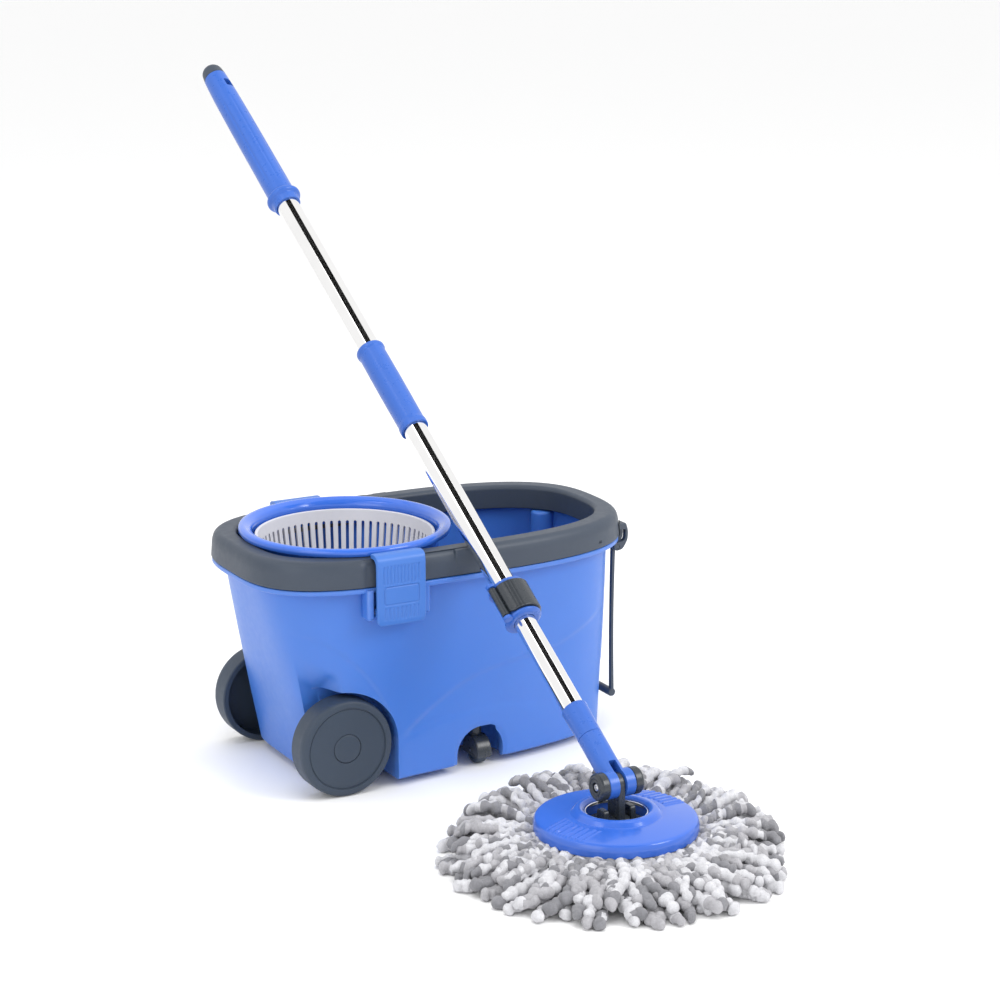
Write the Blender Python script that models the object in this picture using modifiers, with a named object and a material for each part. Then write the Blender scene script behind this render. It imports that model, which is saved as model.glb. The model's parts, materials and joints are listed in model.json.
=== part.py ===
"""Wheeled spin mop: an oval bucket with a wringing basket, and a mop whose handle leans in the rim.

Metres, +Z up. The long side of the bucket runs along X, its basket end at -X and its water end at
+X. The mop stands in front of it, at -Y, with its handle leaning back over the rim. The origin is
on the floor, under the middle of the whole set.
"""

import math

import bmesh
import bpy
from mathutils import Matrix, Vector

# ---------------------------------------------------------------- driving sizes: bucket
BUCKET_LENGTH = 0.438          # over the rim
BUCKET_WIDTH = 0.254           # over the rim
RIM_TOP = 0.249                # height of the rim's top face
RIM_HEIGHT = 0.0277
RIM_BAND = 0.0256              # width of the channel seen from above
RIM_SKIN = 0.003
BLUNT_LEFT = 3.4               # squareness of the oval's two ends
BLUNT_RIGHT = 2.8
WALL = 0.003
BODY_INSET = 0.013             # from the rim's outline to the body wall under it
BODY_BOTTOM = 0.008
BASE_LEFT_INSET = 0.047        # how far the base is drawn in from the body top, each end
BASE_RIGHT_INSET = 0.013
BASE_WIDTH = 0.2112
BASE_TAPER = 0.16              # the base narrows towards the water end
LIP_HEIGHT = 0.0055            # flange under the rim
STEP_TOP = 0.095               # the recess in the water end, behind the pull handle's grip
STEP_DEPTH = 0.0165
STEP_HALF_WIDTH = 0.076

# ---------------------------------------------------------------- driving sizes: basket
RING_MARGIN = 0.0158           # rim outline to splash ring, at the sides
RING_END_MARGIN = 0.0195       # the same at the basket end
RING_HEIGHT = 0.0085
RING_BAND = 0.0151
RING_SKIRT = 0.0195
RING_SKIRT_STEP = 0.0016        # the ring's inner edge to its skirt's outer face
BASKET_DEPTH = 0.097
BASKET_WALL = 0.0025
BASKET_DRAFT = 0.013           # how much narrower the floor is than the mouth
SLOT_COUNT = 66
SLOT_WIDTH = 0.0032
SLOT_TOP_BAND = 0.016
SLOT_LENGTH = 0.062
SPINDLE_RADIUS = 0.004
POST_RADIUS = 0.015
POST_SPREAD = 0.009
CONE_RADIUS = 0.021
CONE_HEIGHT = 0.026

# ---------------------------------------------------------------- driving sizes: running gear
WHEEL_RADIUS = 0.0513
WHEEL_WIDTH = 0.0271
WHEEL_TRACK = 0.2262           # over the outer faces
WHEEL_FROM_END = 0.0769        # rim end to wheel centre
TYRE_WALL = 0.0062
HUB_RADIUS = 0.010
HUB_CAP_RADIUS = 0.015
AXLE_RADIUS = 0.004
WELL_CLEARANCE = 0.006
WELL_INNER = 0.072             # the well's inner wall, from the middle plane
CASTER_X = 0.0195
CASTER_Y = 0.078
CASTER_RADIUS = 0.014
CASTER_WIDTH = 0.012
CASTER_TRAIL = 0.0060
CASTER_RECESS_RADIUS = 0.0262
CASTER_RECESS_TOP = 0.047
STEM_RADIUS = 0.003

# ---------------------------------------------------------------- driving sizes: latches, handle
LATCH_WIDTH = 0.054
LATCH_THICKNESS = 0.004
LATCH_BOTTOM = 0.0675          # below the rim top
LATCH_PIVOT_DROP = 0.055       # below the rim top
LATCH_PIN_RADIUS = 0.00175
HANDLE_SPREAD = 0.124          # between the arms' middles
GRIP_BAR_HEIGHT = 0.0430       # above the floor
HANDLE_ARM_WIDTH = 0.005
HANDLE_ARM_THICKNESS = 0.004
GRIP_BAR_RADIUS = 0.0045
HANDLE_PIN_RADIUS = 0.0022
HANDLE_PIN_DROP = 0.0405       # rim top to hinge
BRACKET_WIDTH = 0.017

# ---------------------------------------------------------------- driving sizes: mop head
MOP_X = 0.0034
MOP_FROM_BUCKET = 0.2672       # rim's front face to the head's centre
YARN_RADIUS = 0.167
YARN_THICKNESS = 0.0333
PLATE_RADIUS = 0.080
PLATE_EDGE = 0.013
PLATE_RISE = 0.0035
PLATE_RING_RADIUS = 0.045
PLATE_OPENING = 0.031
PIVOT_HEIGHT = 0.0794
TONGUE_WIDTH = 0.007
TONGUE_EYE = 0.0105
DRUM_RADIUS = 0.01355
DRUM_PROUD = 0.0020            # each drum's outer face beyond the fork's side
CAP_WIDTH = 0.0094
FORK_PIN_RADIUS = 0.003

# ---------------------------------------------------------------- driving sizes: handle, from the pivot
OUTER_TUBE = 0.0127            # radius
OUTER_WALL = 0.0009
INNER_WALL = 0.0010
GRIP_WALL = 0.0022             # over the outer tube
COLLAR_WALL = 0.0048
COLLAR_FLANGE = 0.0020
SEAM = 0.0574
SOCKET_TOP = 0.0941
CLAMP_BOTTOM = 0.2070
CLAMP_TOP = 0.2522
MID_GRIP_BOTTOM = 0.4770
MID_GRIP_TOP = 0.5977
TOP_GRIP_BOTTOM = 0.8290
TOP_GRIP_TOP = 1.0513
HANDLE_TOP = 1.0700
INNER_TUBE_TOP = 0.3600
STROKE = 0.105
ROD_WIDTH = 0.007
ROD_THICKNESS = 0.002
ROD_PITCH = 0.090
ROD_BOTTOM = 0.3300
ANCHOR_BOTTOM = 0.4740
ANCHOR_LENGTH = 0.0090
LEVER_PIN_RADIUS = 0.0015
LEVER_PIN_ANGLE = math.radians(200)
LEVER_SWEEP = math.radians(150)
HANG_HOLE_TURN = math.radians(24)

# ---------------------------------------------------------------- clearances
GAP = 0.0003                   # between pieces that touch
RUNNING = 0.0003               # shaft in bore, radial
SLIDE = 0.0007                 # tube in tube, radial
REST_GAP = 0.0005              # handle over its rest notch
SKIRT_CLEARANCE = 0.0004       # splash ring's skirt inside the rim's opening

# ---------------------------------------------------------------- worked out
HALF_LENGTH = BUCKET_LENGTH / 2
HALF_WIDTH = BUCKET_WIDTH / 2
RIM_CENTRE = -0.003
LEFT = RIM_CENTRE - HALF_LENGTH
RIGHT = RIM_CENTRE + HALF_LENGTH
RIM_BOTTOM = RIM_TOP - RIM_HEIGHT
RIM_ROOF = RIM_TOP - RIM_SKIN
BODY_TOP = RIM_ROOF - 0.001
LIP_TOP = RIM_BOTTOM - GAP - 0.0004
LIP_BOTTOM = LIP_TOP - LIP_HEIGHT
RING_RADIUS = HALF_WIDTH - RING_MARGIN
RING_BOTTOM = RIM_TOP + GAP
RING_INNER = RING_RADIUS - RING_BAND
SKIRT_RADIUS = RING_INNER + RING_SKIRT_STEP
BASKET_RADIUS = RING_INNER - 0.0021
BASKET_TOP = RIM_TOP - 0.002
BASKET_FLOOR = BASKET_TOP - BASKET_DEPTH
WHEEL_X = LEFT + WHEEL_FROM_END
WHEEL_OUTER = WHEEL_TRACK / 2
MOP_Y = -(HALF_WIDTH + MOP_FROM_BUCKET)
OUTER_BORE = OUTER_TUBE - OUTER_WALL
INNER_TUBE = OUTER_BORE - SLIDE
GRIP_RADIUS = OUTER_TUBE + GRIP_WALL
CLAMP_RADIUS = OUTER_TUBE + COLLAR_WALL
CLAMP_FLANGE = CLAMP_RADIUS + COLLAR_FLANGE
INNER_BORE = INNER_TUBE - INNER_WALL
TUBE_JOINT = (MID_GRIP_BOTTOM + MID_GRIP_TOP) / 2
REST_X = -0.0042
REST_INSET = 0.0046
REST_DEPTH = 0.0023


def lean_of_handle():
    """The handle's angle from upright and its turn about Z, so that it lies in the rim's notch."""
    rest = Vector((REST_X, -(HALF_WIDTH - REST_INSET), RIM_TOP - REST_DEPTH))
    pivot = Vector((MOP_X, MOP_Y, PIVOT_HEIGHT))
    reach = rest - pivot
    level = math.hypot(reach.x, reach.y)
    rise = math.atan2(reach.z, level) + math.asin((OUTER_TUBE + REST_GAP) / reach.length)
    return math.pi / 2 - rise, math.atan2(-reach.x, reach.y)


def centre_of_ring():
    """The X of the ring's centre: as near the basket end as the margin and the rim's opening allow."""
    half_length, half_width = HALF_LENGTH - RIM_BAND, HALF_WIDTH - RIM_BAND
    quarter = [math.pi / 2 * i / 60 for i in range(61)]
    opening = [(RIM_CENTRE - half_length * math.cos(a) ** (2 / BLUNT_LEFT),
                half_width * math.sin(a) ** (2 / BLUNT_LEFT)) for a in quarter]
    needed = SKIRT_RADIUS + SKIRT_CLEARANCE
    centre = LEFT + RING_END_MARGIN + RING_RADIUS
    for x, y in opening:
        if y < needed:
            centre = max(centre, x + math.sqrt(needed ** 2 - y ** 2))
    return centre


RING_X = centre_of_ring()
LEAN, TURN = lean_of_handle()
HANDLE_DIRECTION = Vector((
    -math.sin(TURN) * math.sin(LEAN), math.cos(TURN) * math.sin(LEAN), math.cos(LEAN)))
FRONT = MOP_Y - YARN_RADIUS
BACK = MOP_Y + HANDLE_DIRECTION.y * HANDLE_TOP + 0.0028
SET_CENTRE = Vector(((LEFT + RIGHT) / 2, (FRONT + BACK) / 2, 0.0))


# ---------------------------------------------------------------- scene and materials
def clear_scene():
    for obj in list(bpy.data.objects):
        bpy.data.objects.remove(obj, do_unlink=True)
    for group in list(bpy.data.collections):
        bpy.data.collections.remove(group)


def new_collection(name):
    group = bpy.data.collections.new(name)
    bpy.context.scene.collection.children.link(group)
    return group


clear_scene()
PARTS = new_collection("spin_mop")
CUTTERS = new_collection("cutters")

FINISHES = {
    "blue_plastic": ((0.08, 0.22, 0.68), 0.35, 0.0),
    "dark_plastic": ((0.10, 0.12, 0.15), 0.50, 0.0),
    "basket_plastic": ((0.62, 0.62, 0.66), 0.45, 0.0),
    "white_plastic": ((0.80, 0.80, 0.78), 0.45, 0.0),
    "chrome": ((0.85, 0.86, 0.88), 0.08, 1.0),
    "steel": ((0.60, 0.61, 0.63), 0.30, 1.0),
    "yarn": ((0.62, 0.62, 0.65), 0.95, 0.0),
}


def finish(name):
    if name in bpy.data.materials:
        return bpy.data.materials[name]
    colour, roughness, metallic = FINISHES[name]
    material = bpy.data.materials.new(name)
    material.use_nodes = True
    shader = material.node_tree.nodes["Principled BSDF"]
    shader.inputs["Base Color"].default_value = (*colour, 1.0)
    shader.inputs["Roughness"].default_value = roughness
    shader.inputs["Metallic"].default_value = metallic
    return material


# ---------------------------------------------------------------- making objects
def frame_at(name, at, turn=(0, 0, 0), parent=None):
    """An empty that carries pieces, on a joint's axis where it belongs to a joint."""
    empty = bpy.data.objects.new(name, None)
    PARTS.objects.link(empty)
    empty.location = at
    empty.rotation_euler = turn
    empty.parent = parent
    return empty


def place(obj, look, parent, at=(0, 0, 0), turn=(0, 0, 0)):
    """Puts an object in the set, or among the cutters where it has no finish."""
    obj.parent = parent
    obj.location = at
    obj.rotation_euler = turn
    if look is None:
        CUTTERS.objects.link(obj)
        obj.hide_render = True
        obj.display_type = "WIRE"
    else:
        PARTS.objects.link(obj)
        obj.data.materials.append(finish(look))
    return obj


def from_bmesh(name, bm):
    bmesh.ops.recalc_face_normals(bm, faces=bm.faces)
    mesh = bpy.data.meshes.new(name)
    bm.to_mesh(mesh)
    bm.free()
    return bpy.data.objects.new(name, mesh)


def smooth(obj, degrees=35):
    obj.data.shade_smooth()
    obj.data.set_sharp_from_angle(angle=math.radians(degrees))
    return obj


def block(name, look, parent, low, high, at=(0, 0, 0), turn=(0, 0, 0), bevel=0.0):
    """A box between two corners, with its edges rounded where bevel is given."""
    bm = bmesh.new()
    bmesh.ops.create_cube(bm, size=1.0)
    low, high = Vector(low), Vector(high)
    size = high - low
    middle = (high + low) / 2
    for vert in bm.verts:
        vert.co = Vector(a * b for a, b in zip(vert.co, size)) + middle
    if bevel:
        bmesh.ops.bevel(bm, geom=bm.edges[:], offset=bevel, segments=2, affect="EDGES", profile=0.5)
    return place(from_bmesh(name, bm), look, parent, at, turn)


AXIS_TURNS = {"X": (0, math.pi / 2, 0), "Y": (-math.pi / 2, 0, 0), "Z": (0, 0, 0)}


def rod(name, look, parent, radius, start, end, axis="Z", at=(0, 0, 0), sides=18, far_radius=None):
    """A cylinder or cone from start to end along an axis of its parent."""
    bm = bmesh.new()
    bmesh.ops.create_cone(
        bm, cap_ends=True, segments=sides, radius1=radius,
        radius2=radius if far_radius is None else far_radius, depth=end - start)
    bmesh.ops.translate(bm, verts=bm.verts, vec=(0, 0, (start + end) / 2))
    turn = Matrix.Rotation(math.pi / 2, 4, "Y") if axis == "X" else Matrix.Rotation(-math.pi / 2, 4, "X")
    if axis != "Z":
        bmesh.ops.transform(bm, matrix=turn, verts=bm.verts)
    return smooth(place(from_bmesh(name, bm), look, parent, at))


def turned(name, look, parent, profile, at=(0, 0, 0), turn=(0, 0, 0), steps=48):
    """A profile of (radius, height) points, top to bottom down its outer side, turned about Z."""
    ring = all(radius > 0 for radius, _ in profile)
    count = len(profile)
    edges = [(i, (i + 1) % count) for i in range(count if ring else count - 1)]
    mesh = bpy.data.meshes.new(name)
    mesh.from_pydata([(radius, 0, height) for radius, height in profile], edges, [])
    obj = place(bpy.data.objects.new(name, mesh), look, parent, at, turn)
    screw = obj.modifiers.new("Turn", "SCREW")
    screw.axis = "Z"
    screw.steps = steps
    screw.render_steps = steps
    screw.use_merge_vertices = True
    screw.merge_threshold = 0.00001
    screw.use_smooth_shade = False
    return obj


def plate(name, look, parent, outline, thickness, at=(0, 0, 0), turn=(0, 0, 0)):
    """A flat outline of (x, y) points, with its thickness along +Z."""
    bm = bmesh.new()
    face = bm.faces.new([bm.verts.new((x, y, 0)) for x, y in outline])
    extruded = bmesh.ops.extrude_face_region(bm, geom=[face])
    raised = [item for item in extruded["geom"] if isinstance(item, bmesh.types.BMVert)]
    bmesh.ops.translate(bm, verts=raised, vec=(0, 0, thickness))
    return place(from_bmesh(name, bm), look, parent, at, turn)


def loft(name, look, parent, rings, around=False):
    """Skin over rings of points: capped at both ends, or closed on itself where around is set."""
    bm = bmesh.new()
    rows = [[bm.verts.new(point) for point in ring] for ring in rings]
    count = len(rows[0])
    pairs = list(zip(rows, rows[1:]))
    if around:
        pairs.append((rows[-1], rows[0]))
    for lower, upper in pairs:
        for i in range(count):
            j = (i + 1) % count
            bm.faces.new((lower[i], lower[j], upper[j], upper[i]))
    if not around:
        bm.faces.new(rows[0])
        bm.faces.new(rows[-1])
    return smooth(place(from_bmesh(name, bm), look, parent))


def change(obj, tool, operation="DIFFERENCE"):
    boolean = obj.modifiers.new(f"{operation} {tool.name}", "BOOLEAN")
    boolean.operation = operation
    boolean.object = tool
    boolean.solver = "EXACT"
    return obj


def cut(obj, *tools):
    for tool in tools:
        change(obj, tool)
    return obj


def join(obj, *tools):
    for tool in tools:
        change(obj, tool, "UNION")
    return obj


def arc(radius, start, end, count, centre=(0.0, 0.0)):
    """Points on an arc, angles in radians."""
    steps = [start + (end - start) * i / (count - 1) for i in range(count)]
    return [(centre[0] + radius * math.cos(a), centre[1] + radius * math.sin(a)) for a in steps]


def mirrored(sign, *points):
    return [Vector((point[0], sign * point[1], point[2])) for point in points]


def side_block(name, look, parent, sign, low, high, **more):
    """A block whose Y range is measured outwards from the middle plane, on one side."""
    ys = sorted((sign * low[1], sign * high[1]))
    return block(name, look, parent, (low[0], ys[0], low[2]), (high[0], ys[1], high[2]), **more)


def side_rod(name, look, parent, sign, radius, start, end, x, z, **more):
    """A rod along Y between two distances from the middle plane, on one side."""
    near, far = sorted((sign * start, sign * end))
    return rod(name, look, parent, radius, near, far, "Y", at=(x, 0, z), **more)


SIDES = (("front", -1), ("rear", 1))
SET = frame_at("set_frame", -SET_CENTRE)


# ---------------------------------------------------------------- outlines of the bucket
OUTLINE_POINTS = 40


def oval(centre, half_length, half_width, taper=0.0, blunt_left=BLUNT_LEFT, blunt_right=BLUNT_RIGHT):
    """A squared oval, narrower towards +X by the taper."""
    points = []
    for i in range(OUTLINE_POINTS):
        angle = 2 * math.pi * i / OUTLINE_POINTS
        c, s = math.cos(angle), math.sin(angle)
        blunt = blunt_right if c > 0 else blunt_left
        u = math.copysign(abs(c) ** (2 / blunt), c)
        v = math.copysign(abs(s) ** (2 / blunt), s)
        points.append((centre + half_length * u, half_width * v * (1 - taper * u)))
    return points


def rim_oval(inset):
    return oval(RIM_CENTRE, HALF_LENGTH - inset, HALF_WIDTH - inset)


def body_oval(height, inset):
    """The body's outline at a height, drawn in from the top outline towards the base."""
    share = min(max((height - BODY_BOTTOM) / (LIP_BOTTOM - BODY_BOTTOM), 0), 1)
    top_left = RIM_CENTRE - HALF_LENGTH + BODY_INSET
    top_right = RIM_CENTRE + HALF_LENGTH - BODY_INSET
    left = top_left + BASE_LEFT_INSET * (1 - share)
    right = top_right - BASE_RIGHT_INSET * (1 - share)
    half_width = BASE_WIDTH / 2 + (HALF_WIDTH - BODY_INSET - BASE_WIDTH / 2) * share
    blunt = 5.0 + (BLUNT_LEFT - 5.0) * share
    blunt_right = 4.0 + (BLUNT_RIGHT - 4.0) * share
    taper = BASE_TAPER * (1 - share)
    return oval((left + right) / 2, (right - left) / 2 - inset, half_width - inset, taper, blunt, blunt_right)


def end_wall_at(height, across):
    """The X of the water end's outer wall, at a height and a distance from the middle plane."""
    outline = [(x, y) for x, y in body_oval(height, 0) if x > 0 and y >= 0]
    for (x1, y1), (x2, y2) in zip(outline, outline[1:]):
        if y1 <= across <= y2:
            return x1 + (x2 - x1) * (across - y1) / (y2 - y1)
    return outline[-1][0]


def side_wall_at(height, along):
    """The distance of the long side's outer wall from the middle plane, at a height and an X."""
    outline = [(x, y) for x, y in body_oval(height, 0) if y >= 0]
    for (x1, y1), (x2, y2) in zip(outline, outline[1:]):
        if x2 <= along <= x1:
            return y1 + (y2 - y1) * (along - x1) / (x2 - x1)
    return max(y for x, y in outline)


def at_height(outline, height):
    return [(x, y, height) for x, y in outline]


# ---------------------------------------------------------------- bucket body
def well_cutters(grown, name):
    """The two wheel wells: an arch open downwards and towards the basket end."""
    radius = WHEEL_RADIUS + WELL_CLEARANCE + grown
    inner = WELL_INNER - grown
    left = LEFT - 0.02
    outline = [(WHEEL_X + radius, -0.05)]
    outline += arc(radius, 0, math.pi / 2, 9, (WHEEL_X, WHEEL_RADIUS))
    outline += [(left, WHEEL_RADIUS + radius), (left, -0.05)]
    tools = []
    for side, sign in SIDES:
        near = inner if sign > 0 else -HALF_WIDTH - 0.02
        far = HALF_WIDTH + 0.02 if sign > 0 else -inner
        tools.append(plate(f"{name}_{side}", None, SET, [(x, z) for x, z in outline], far - near,
                           at=(0, far, 0), turn=(math.pi / 2, 0, 0)))
    return tools


def caster_cutters(grown, name):
    """Each caster's recess: a round pocket for the swivel and an arch through the side wall."""
    tools = []
    radius = CASTER_RECESS_RADIUS + grown
    for side, sign in SIDES:
        tools.append(rod(f"{name}_pocket_{side}", None, SET, radius, -0.05, CASTER_RECESS_TOP + grown,
                         at=(CASTER_X, sign * CASTER_Y, 0), sides=20))
        arch = radius - 0.0012
        outline = [(CASTER_X + arch, -0.05)]
        outline += arc(arch, 0, math.pi, 11, (CASTER_X, CASTER_RECESS_TOP - CASTER_RECESS_RADIUS))
        outline += [(CASTER_X - arch, -0.05)]
        near, far = sorted((sign * (CASTER_Y - 0.006), sign * (HALF_WIDTH + 0.02)))
        tools.append(plate(f"{name}_arch_{side}", None, SET, outline, far - near,
                           at=(0, far, 0), turn=(math.pi / 2, 0, 0)))
    return tools


def end_step_cutter(grown, name):
    """The recess in the water end, below the step line, that leaves room for fingers."""
    face = RIM_CENTRE + HALF_LENGTH - BODY_INSET - BASE_RIGHT_INSET / 2 - STEP_DEPTH - grown
    outline = [(face, -0.05), (face, STEP_TOP - 0.012 + grown), (face + 0.012, STEP_TOP + grown),
               (RIGHT + 0.03, STEP_TOP + 0.006 + grown), (RIGHT + 0.03, -0.05)]
    half = STEP_HALF_WIDTH + grown
    return plate(name, None, SET, outline, 2 * half, at=(0, half, 0), turn=(math.pi / 2, 0, 0))


def bucket_body():
    under_lip = LIP_BOTTOM - 0.0002
    over_lip = LIP_TOP + 0.0002
    levels = [(BODY_BOTTOM, 0.003), (BODY_BOTTOM + 0.003, 0)]
    levels += [(height, 0) for height in (0.1, under_lip)]
    rings = [at_height(body_oval(height, inset), height) for height, inset in levels]
    rings += [at_height(rim_oval(0.0015), LIP_BOTTOM), at_height(rim_oval(0.001), LIP_TOP)]
    rings += [at_height(rim_oval(BODY_INSET), over_lip), at_height(rim_oval(BODY_INSET), BODY_TOP)]
    body = loft("bucket_body", "blue_plastic", SET, rings)

    floor = BODY_BOTTOM + WALL
    inner_levels = [(floor, 0.002), (floor + 0.003, 0)]
    inner_levels += [(height, 0) for height in (0.1, LIP_TOP)]
    inner_rings = [at_height(body_oval(height, WALL + inset), height) for height, inset in inner_levels]
    inner_rings.append(at_height(rim_oval(BODY_INSET + WALL), LIP_TOP + 0.002))
    inner_rings.append(at_height(rim_oval(BODY_INSET + WALL), BODY_TOP + 0.02))
    hollow = loft("body_hollow", None, SET, inner_rings)
    cut(hollow, *well_cutters(WALL, "hollow_well"), *caster_cutters(WALL, "hollow_caster"))
    cut(hollow, end_step_cutter(WALL, "hollow_step"))
    cut(body, *well_cutters(0, "well"), *caster_cutters(0, "caster"), end_step_cutter(0, "end_step"))
    cut(body, hollow)
    add_post(body)
    add_wheel_bosses(body)
    add_caster_bosses(body)
    add_latch_ears(body)
    return body


POST_TOP = BASKET_FLOOR - 0.0305


def add_post(body):
    """A hollow tapered post on the bucket's floor, which carries the basket's spindle."""
    foot = BODY_BOTTOM + 0.001
    post = rod("post_solid", None, SET, POST_RADIUS + POST_SPREAD, foot, POST_TOP, at=(RING_X, 0, 0),
               sides=24, far_radius=POST_RADIUS)
    core = rod("post_core", None, SET, POST_RADIUS + POST_SPREAD - WALL, -0.01, POST_TOP - 0.016,
               at=(RING_X, 0, 0), sides=24, far_radius=POST_RADIUS - WALL)
    bore = rod("post_bore", None, SET, SPINDLE_RADIUS + RUNNING, POST_TOP - 0.011, POST_TOP + 0.01,
               at=(RING_X, 0, 0))
    join(body, post)
    cut(body, core, bore)


def add_wheel_bosses(body):
    for side, sign in SIDES:
        boss = side_rod(f"wheel_boss_{side}", None, SET, sign, HUB_RADIUS, WELL_INNER - 0.001,
                        WELL_INNER + 0.012, WHEEL_X, WHEEL_RADIUS)
        bore = side_rod(f"wheel_bore_{side}", None, SET, sign, AXLE_RADIUS + RUNNING, WELL_INNER,
                        WELL_INNER + 0.03, WHEEL_X, WHEEL_RADIUS)
        join(body, boss)
        cut(body, bore)


def add_caster_bosses(body):
    for side, sign in SIDES:
        spot = (CASTER_X, sign * CASTER_Y, 0)
        boss = rod(f"stem_boss_{side}", None, SET, 0.0085, CASTER_RECESS_TOP + 0.001,
                   CASTER_RECESS_TOP + 0.016, at=spot)
        bore = rod(f"stem_bore_{side}", None, SET, STEM_RADIUS + RUNNING, CASTER_RECESS_TOP - 0.01,
                   CASTER_RECESS_TOP + 0.0125, at=spot)
        join(body, boss)
        cut(body, bore)


LATCH_PIVOT = Vector((RING_X, HALF_WIDTH - 0.0065, RIM_TOP - LATCH_PIVOT_DROP))
EAR_INNER = LATCH_WIDTH / 2 + 0.0015
EAR_OUTER = EAR_INNER + 0.006


def add_latch_ears(body):
    """Two ears on each long side, either side of the latch, under the lip."""
    for side, sign in SIDES:
        for end in (-1, 1):
            low, high = sorted((end * EAR_INNER, end * EAR_OUTER))
            wall = side_wall_at(LATCH_PIVOT.z, RING_X + (low + high) / 2)
            ear = side_block(f"latch_ear_{side}_{end}", None, SET, sign,
                             (RING_X + low, wall - 0.6 * WALL, LATCH_PIVOT.z - 0.0055),
                             (RING_X + high, LATCH_PIVOT.y + 0.0045, LIP_TOP - 0.0015))
            join(body, ear)
        bore = rod(f"latch_bore_{side}", None, SET, LATCH_PIN_RADIUS + RUNNING, -EAR_OUTER - 0.01,
                   EAR_OUTER + 0.01, "X", at=mirrored(sign, LATCH_PIVOT)[0], sides=12)
        cut(body, bore)


# ---------------------------------------------------------------- rim band
def handle_groove(name, radius, side=-1):
    """A cylinder along the resting handle, which shapes the notch it lies in."""
    start = Vector((MOP_X, side * -MOP_Y, PIVOT_HEIGHT))
    direction = Vector((HANDLE_DIRECTION.x, -side * HANDLE_DIRECTION.y, HANDLE_DIRECTION.z))
    tool = rod(name, None, SET, radius, 0.25, 0.45, sides=32)
    tool.rotation_euler = direction.to_track_quat("Z", "Y").to_euler()
    tool.location = start
    return tool


def rim_band():
    """A channel turned upside down over the body's edge, following the oval."""
    section = [(0.0070, RIM_TOP), (0.0030, RIM_TOP - 0.0035), (0.0012, RIM_TOP - 0.0100),
               (0.0, RIM_BOTTOM), (0.0026, RIM_BOTTOM), (0.0042, RIM_TOP - 0.0095),
               (0.0075, RIM_ROOF), (RIM_BAND - 0.0055, RIM_ROOF),
               (RIM_BAND - 0.0031, RIM_ROOF - 0.0025), (RIM_BAND - 0.0030, RIM_BOTTOM + 0.0017),
               (RIM_BAND, RIM_BOTTOM + 0.0017), (RIM_BAND, RIM_TOP - 0.0030),
               (RIM_BAND - 0.0024, RIM_TOP)]
    loops = [at_height(rim_oval(inset), height) for inset, height in section]
    band = loft("rim_band", "dark_plastic", SET, loops, around=True)
    for side, sign in SIDES:
        saddle = side_block(f"rest_saddle_{side}", None, SET, sign,
                            (REST_X - 0.022, HALF_WIDTH - 0.0105, RIM_BOTTOM + 0.006),
                            (REST_X + 0.022, HALF_WIDTH - 0.0022, RIM_TOP - 0.0008))
        join(band, saddle)
        cut(band, handle_groove(f"rest_groove_{side}", OUTER_TUBE + REST_GAP / 2, sign))
    return band


# ---------------------------------------------------------------- basket end
def splash_ring():
    r, z = RING_RADIUS, RING_BOTTOM
    inner, skirt = RING_INNER, SKIRT_RADIUS
    profile = [(r - 0.0052, z + RING_HEIGHT), (r - 0.0015, z + RING_HEIGHT - 0.0014),
               (r, z + RING_HEIGHT - 0.0048), (r - 0.0012, z), (skirt, z), (skirt, z - RING_SKIRT),
               (skirt - 0.0020, z - RING_SKIRT), (inner, z + 0.0010), (inner + 0.0016, z + 0.0036)]
    return turned("splash_ring", "blue_plastic", SET, profile, at=(RING_X, 0, 0), steps=44)


BASKET = frame_at("basket_axis", (RING_X, 0, 0), parent=SET)


def spin_basket():
    top, floor = BASKET_TOP, BASKET_FLOOR
    r, foot = BASKET_RADIUS, BASKET_RADIUS - BASKET_DRAFT
    wall = BASKET_WALL
    profile = [(r, top), (r - 0.0012, top - 0.004), (foot, floor + 0.005), (foot - 0.005, floor - wall),
               (0.0125, floor - wall), (0.0125, floor - 0.019), (HUB_BORE, floor - 0.019),
               (HUB_BORE, floor + 0.007), (0.0125, floor), (foot - wall - 0.0045, floor),
               (foot - wall, floor + 0.0055), (r - wall - 0.0008, top)]
    basket = turned("spin_basket", "basket_plastic", BASKET, profile, steps=SLOT_COUNT // 2)
    bm = bmesh.new()
    for i in range(SLOT_COUNT):
        angle = 2 * math.pi * (i + 0.5) / SLOT_COUNT
        slot = bmesh.ops.create_cube(bm, size=1.0)["verts"]
        bmesh.ops.scale(bm, vec=(0.030, SLOT_WIDTH, SLOT_LENGTH), verts=slot)
        middle = (r - 0.008, 0, top - SLOT_TOP_BAND - SLOT_LENGTH / 2)
        bmesh.ops.translate(bm, vec=middle, verts=slot)
        bmesh.ops.rotate(bm, cent=(0, 0, 0), matrix=Matrix.Rotation(angle, 3, "Z"), verts=slot)
    slots = place(from_bmesh("basket_slots", bm), None, BASKET)
    return cut(basket, slots)


HUB_BORE = 0.0078


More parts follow.
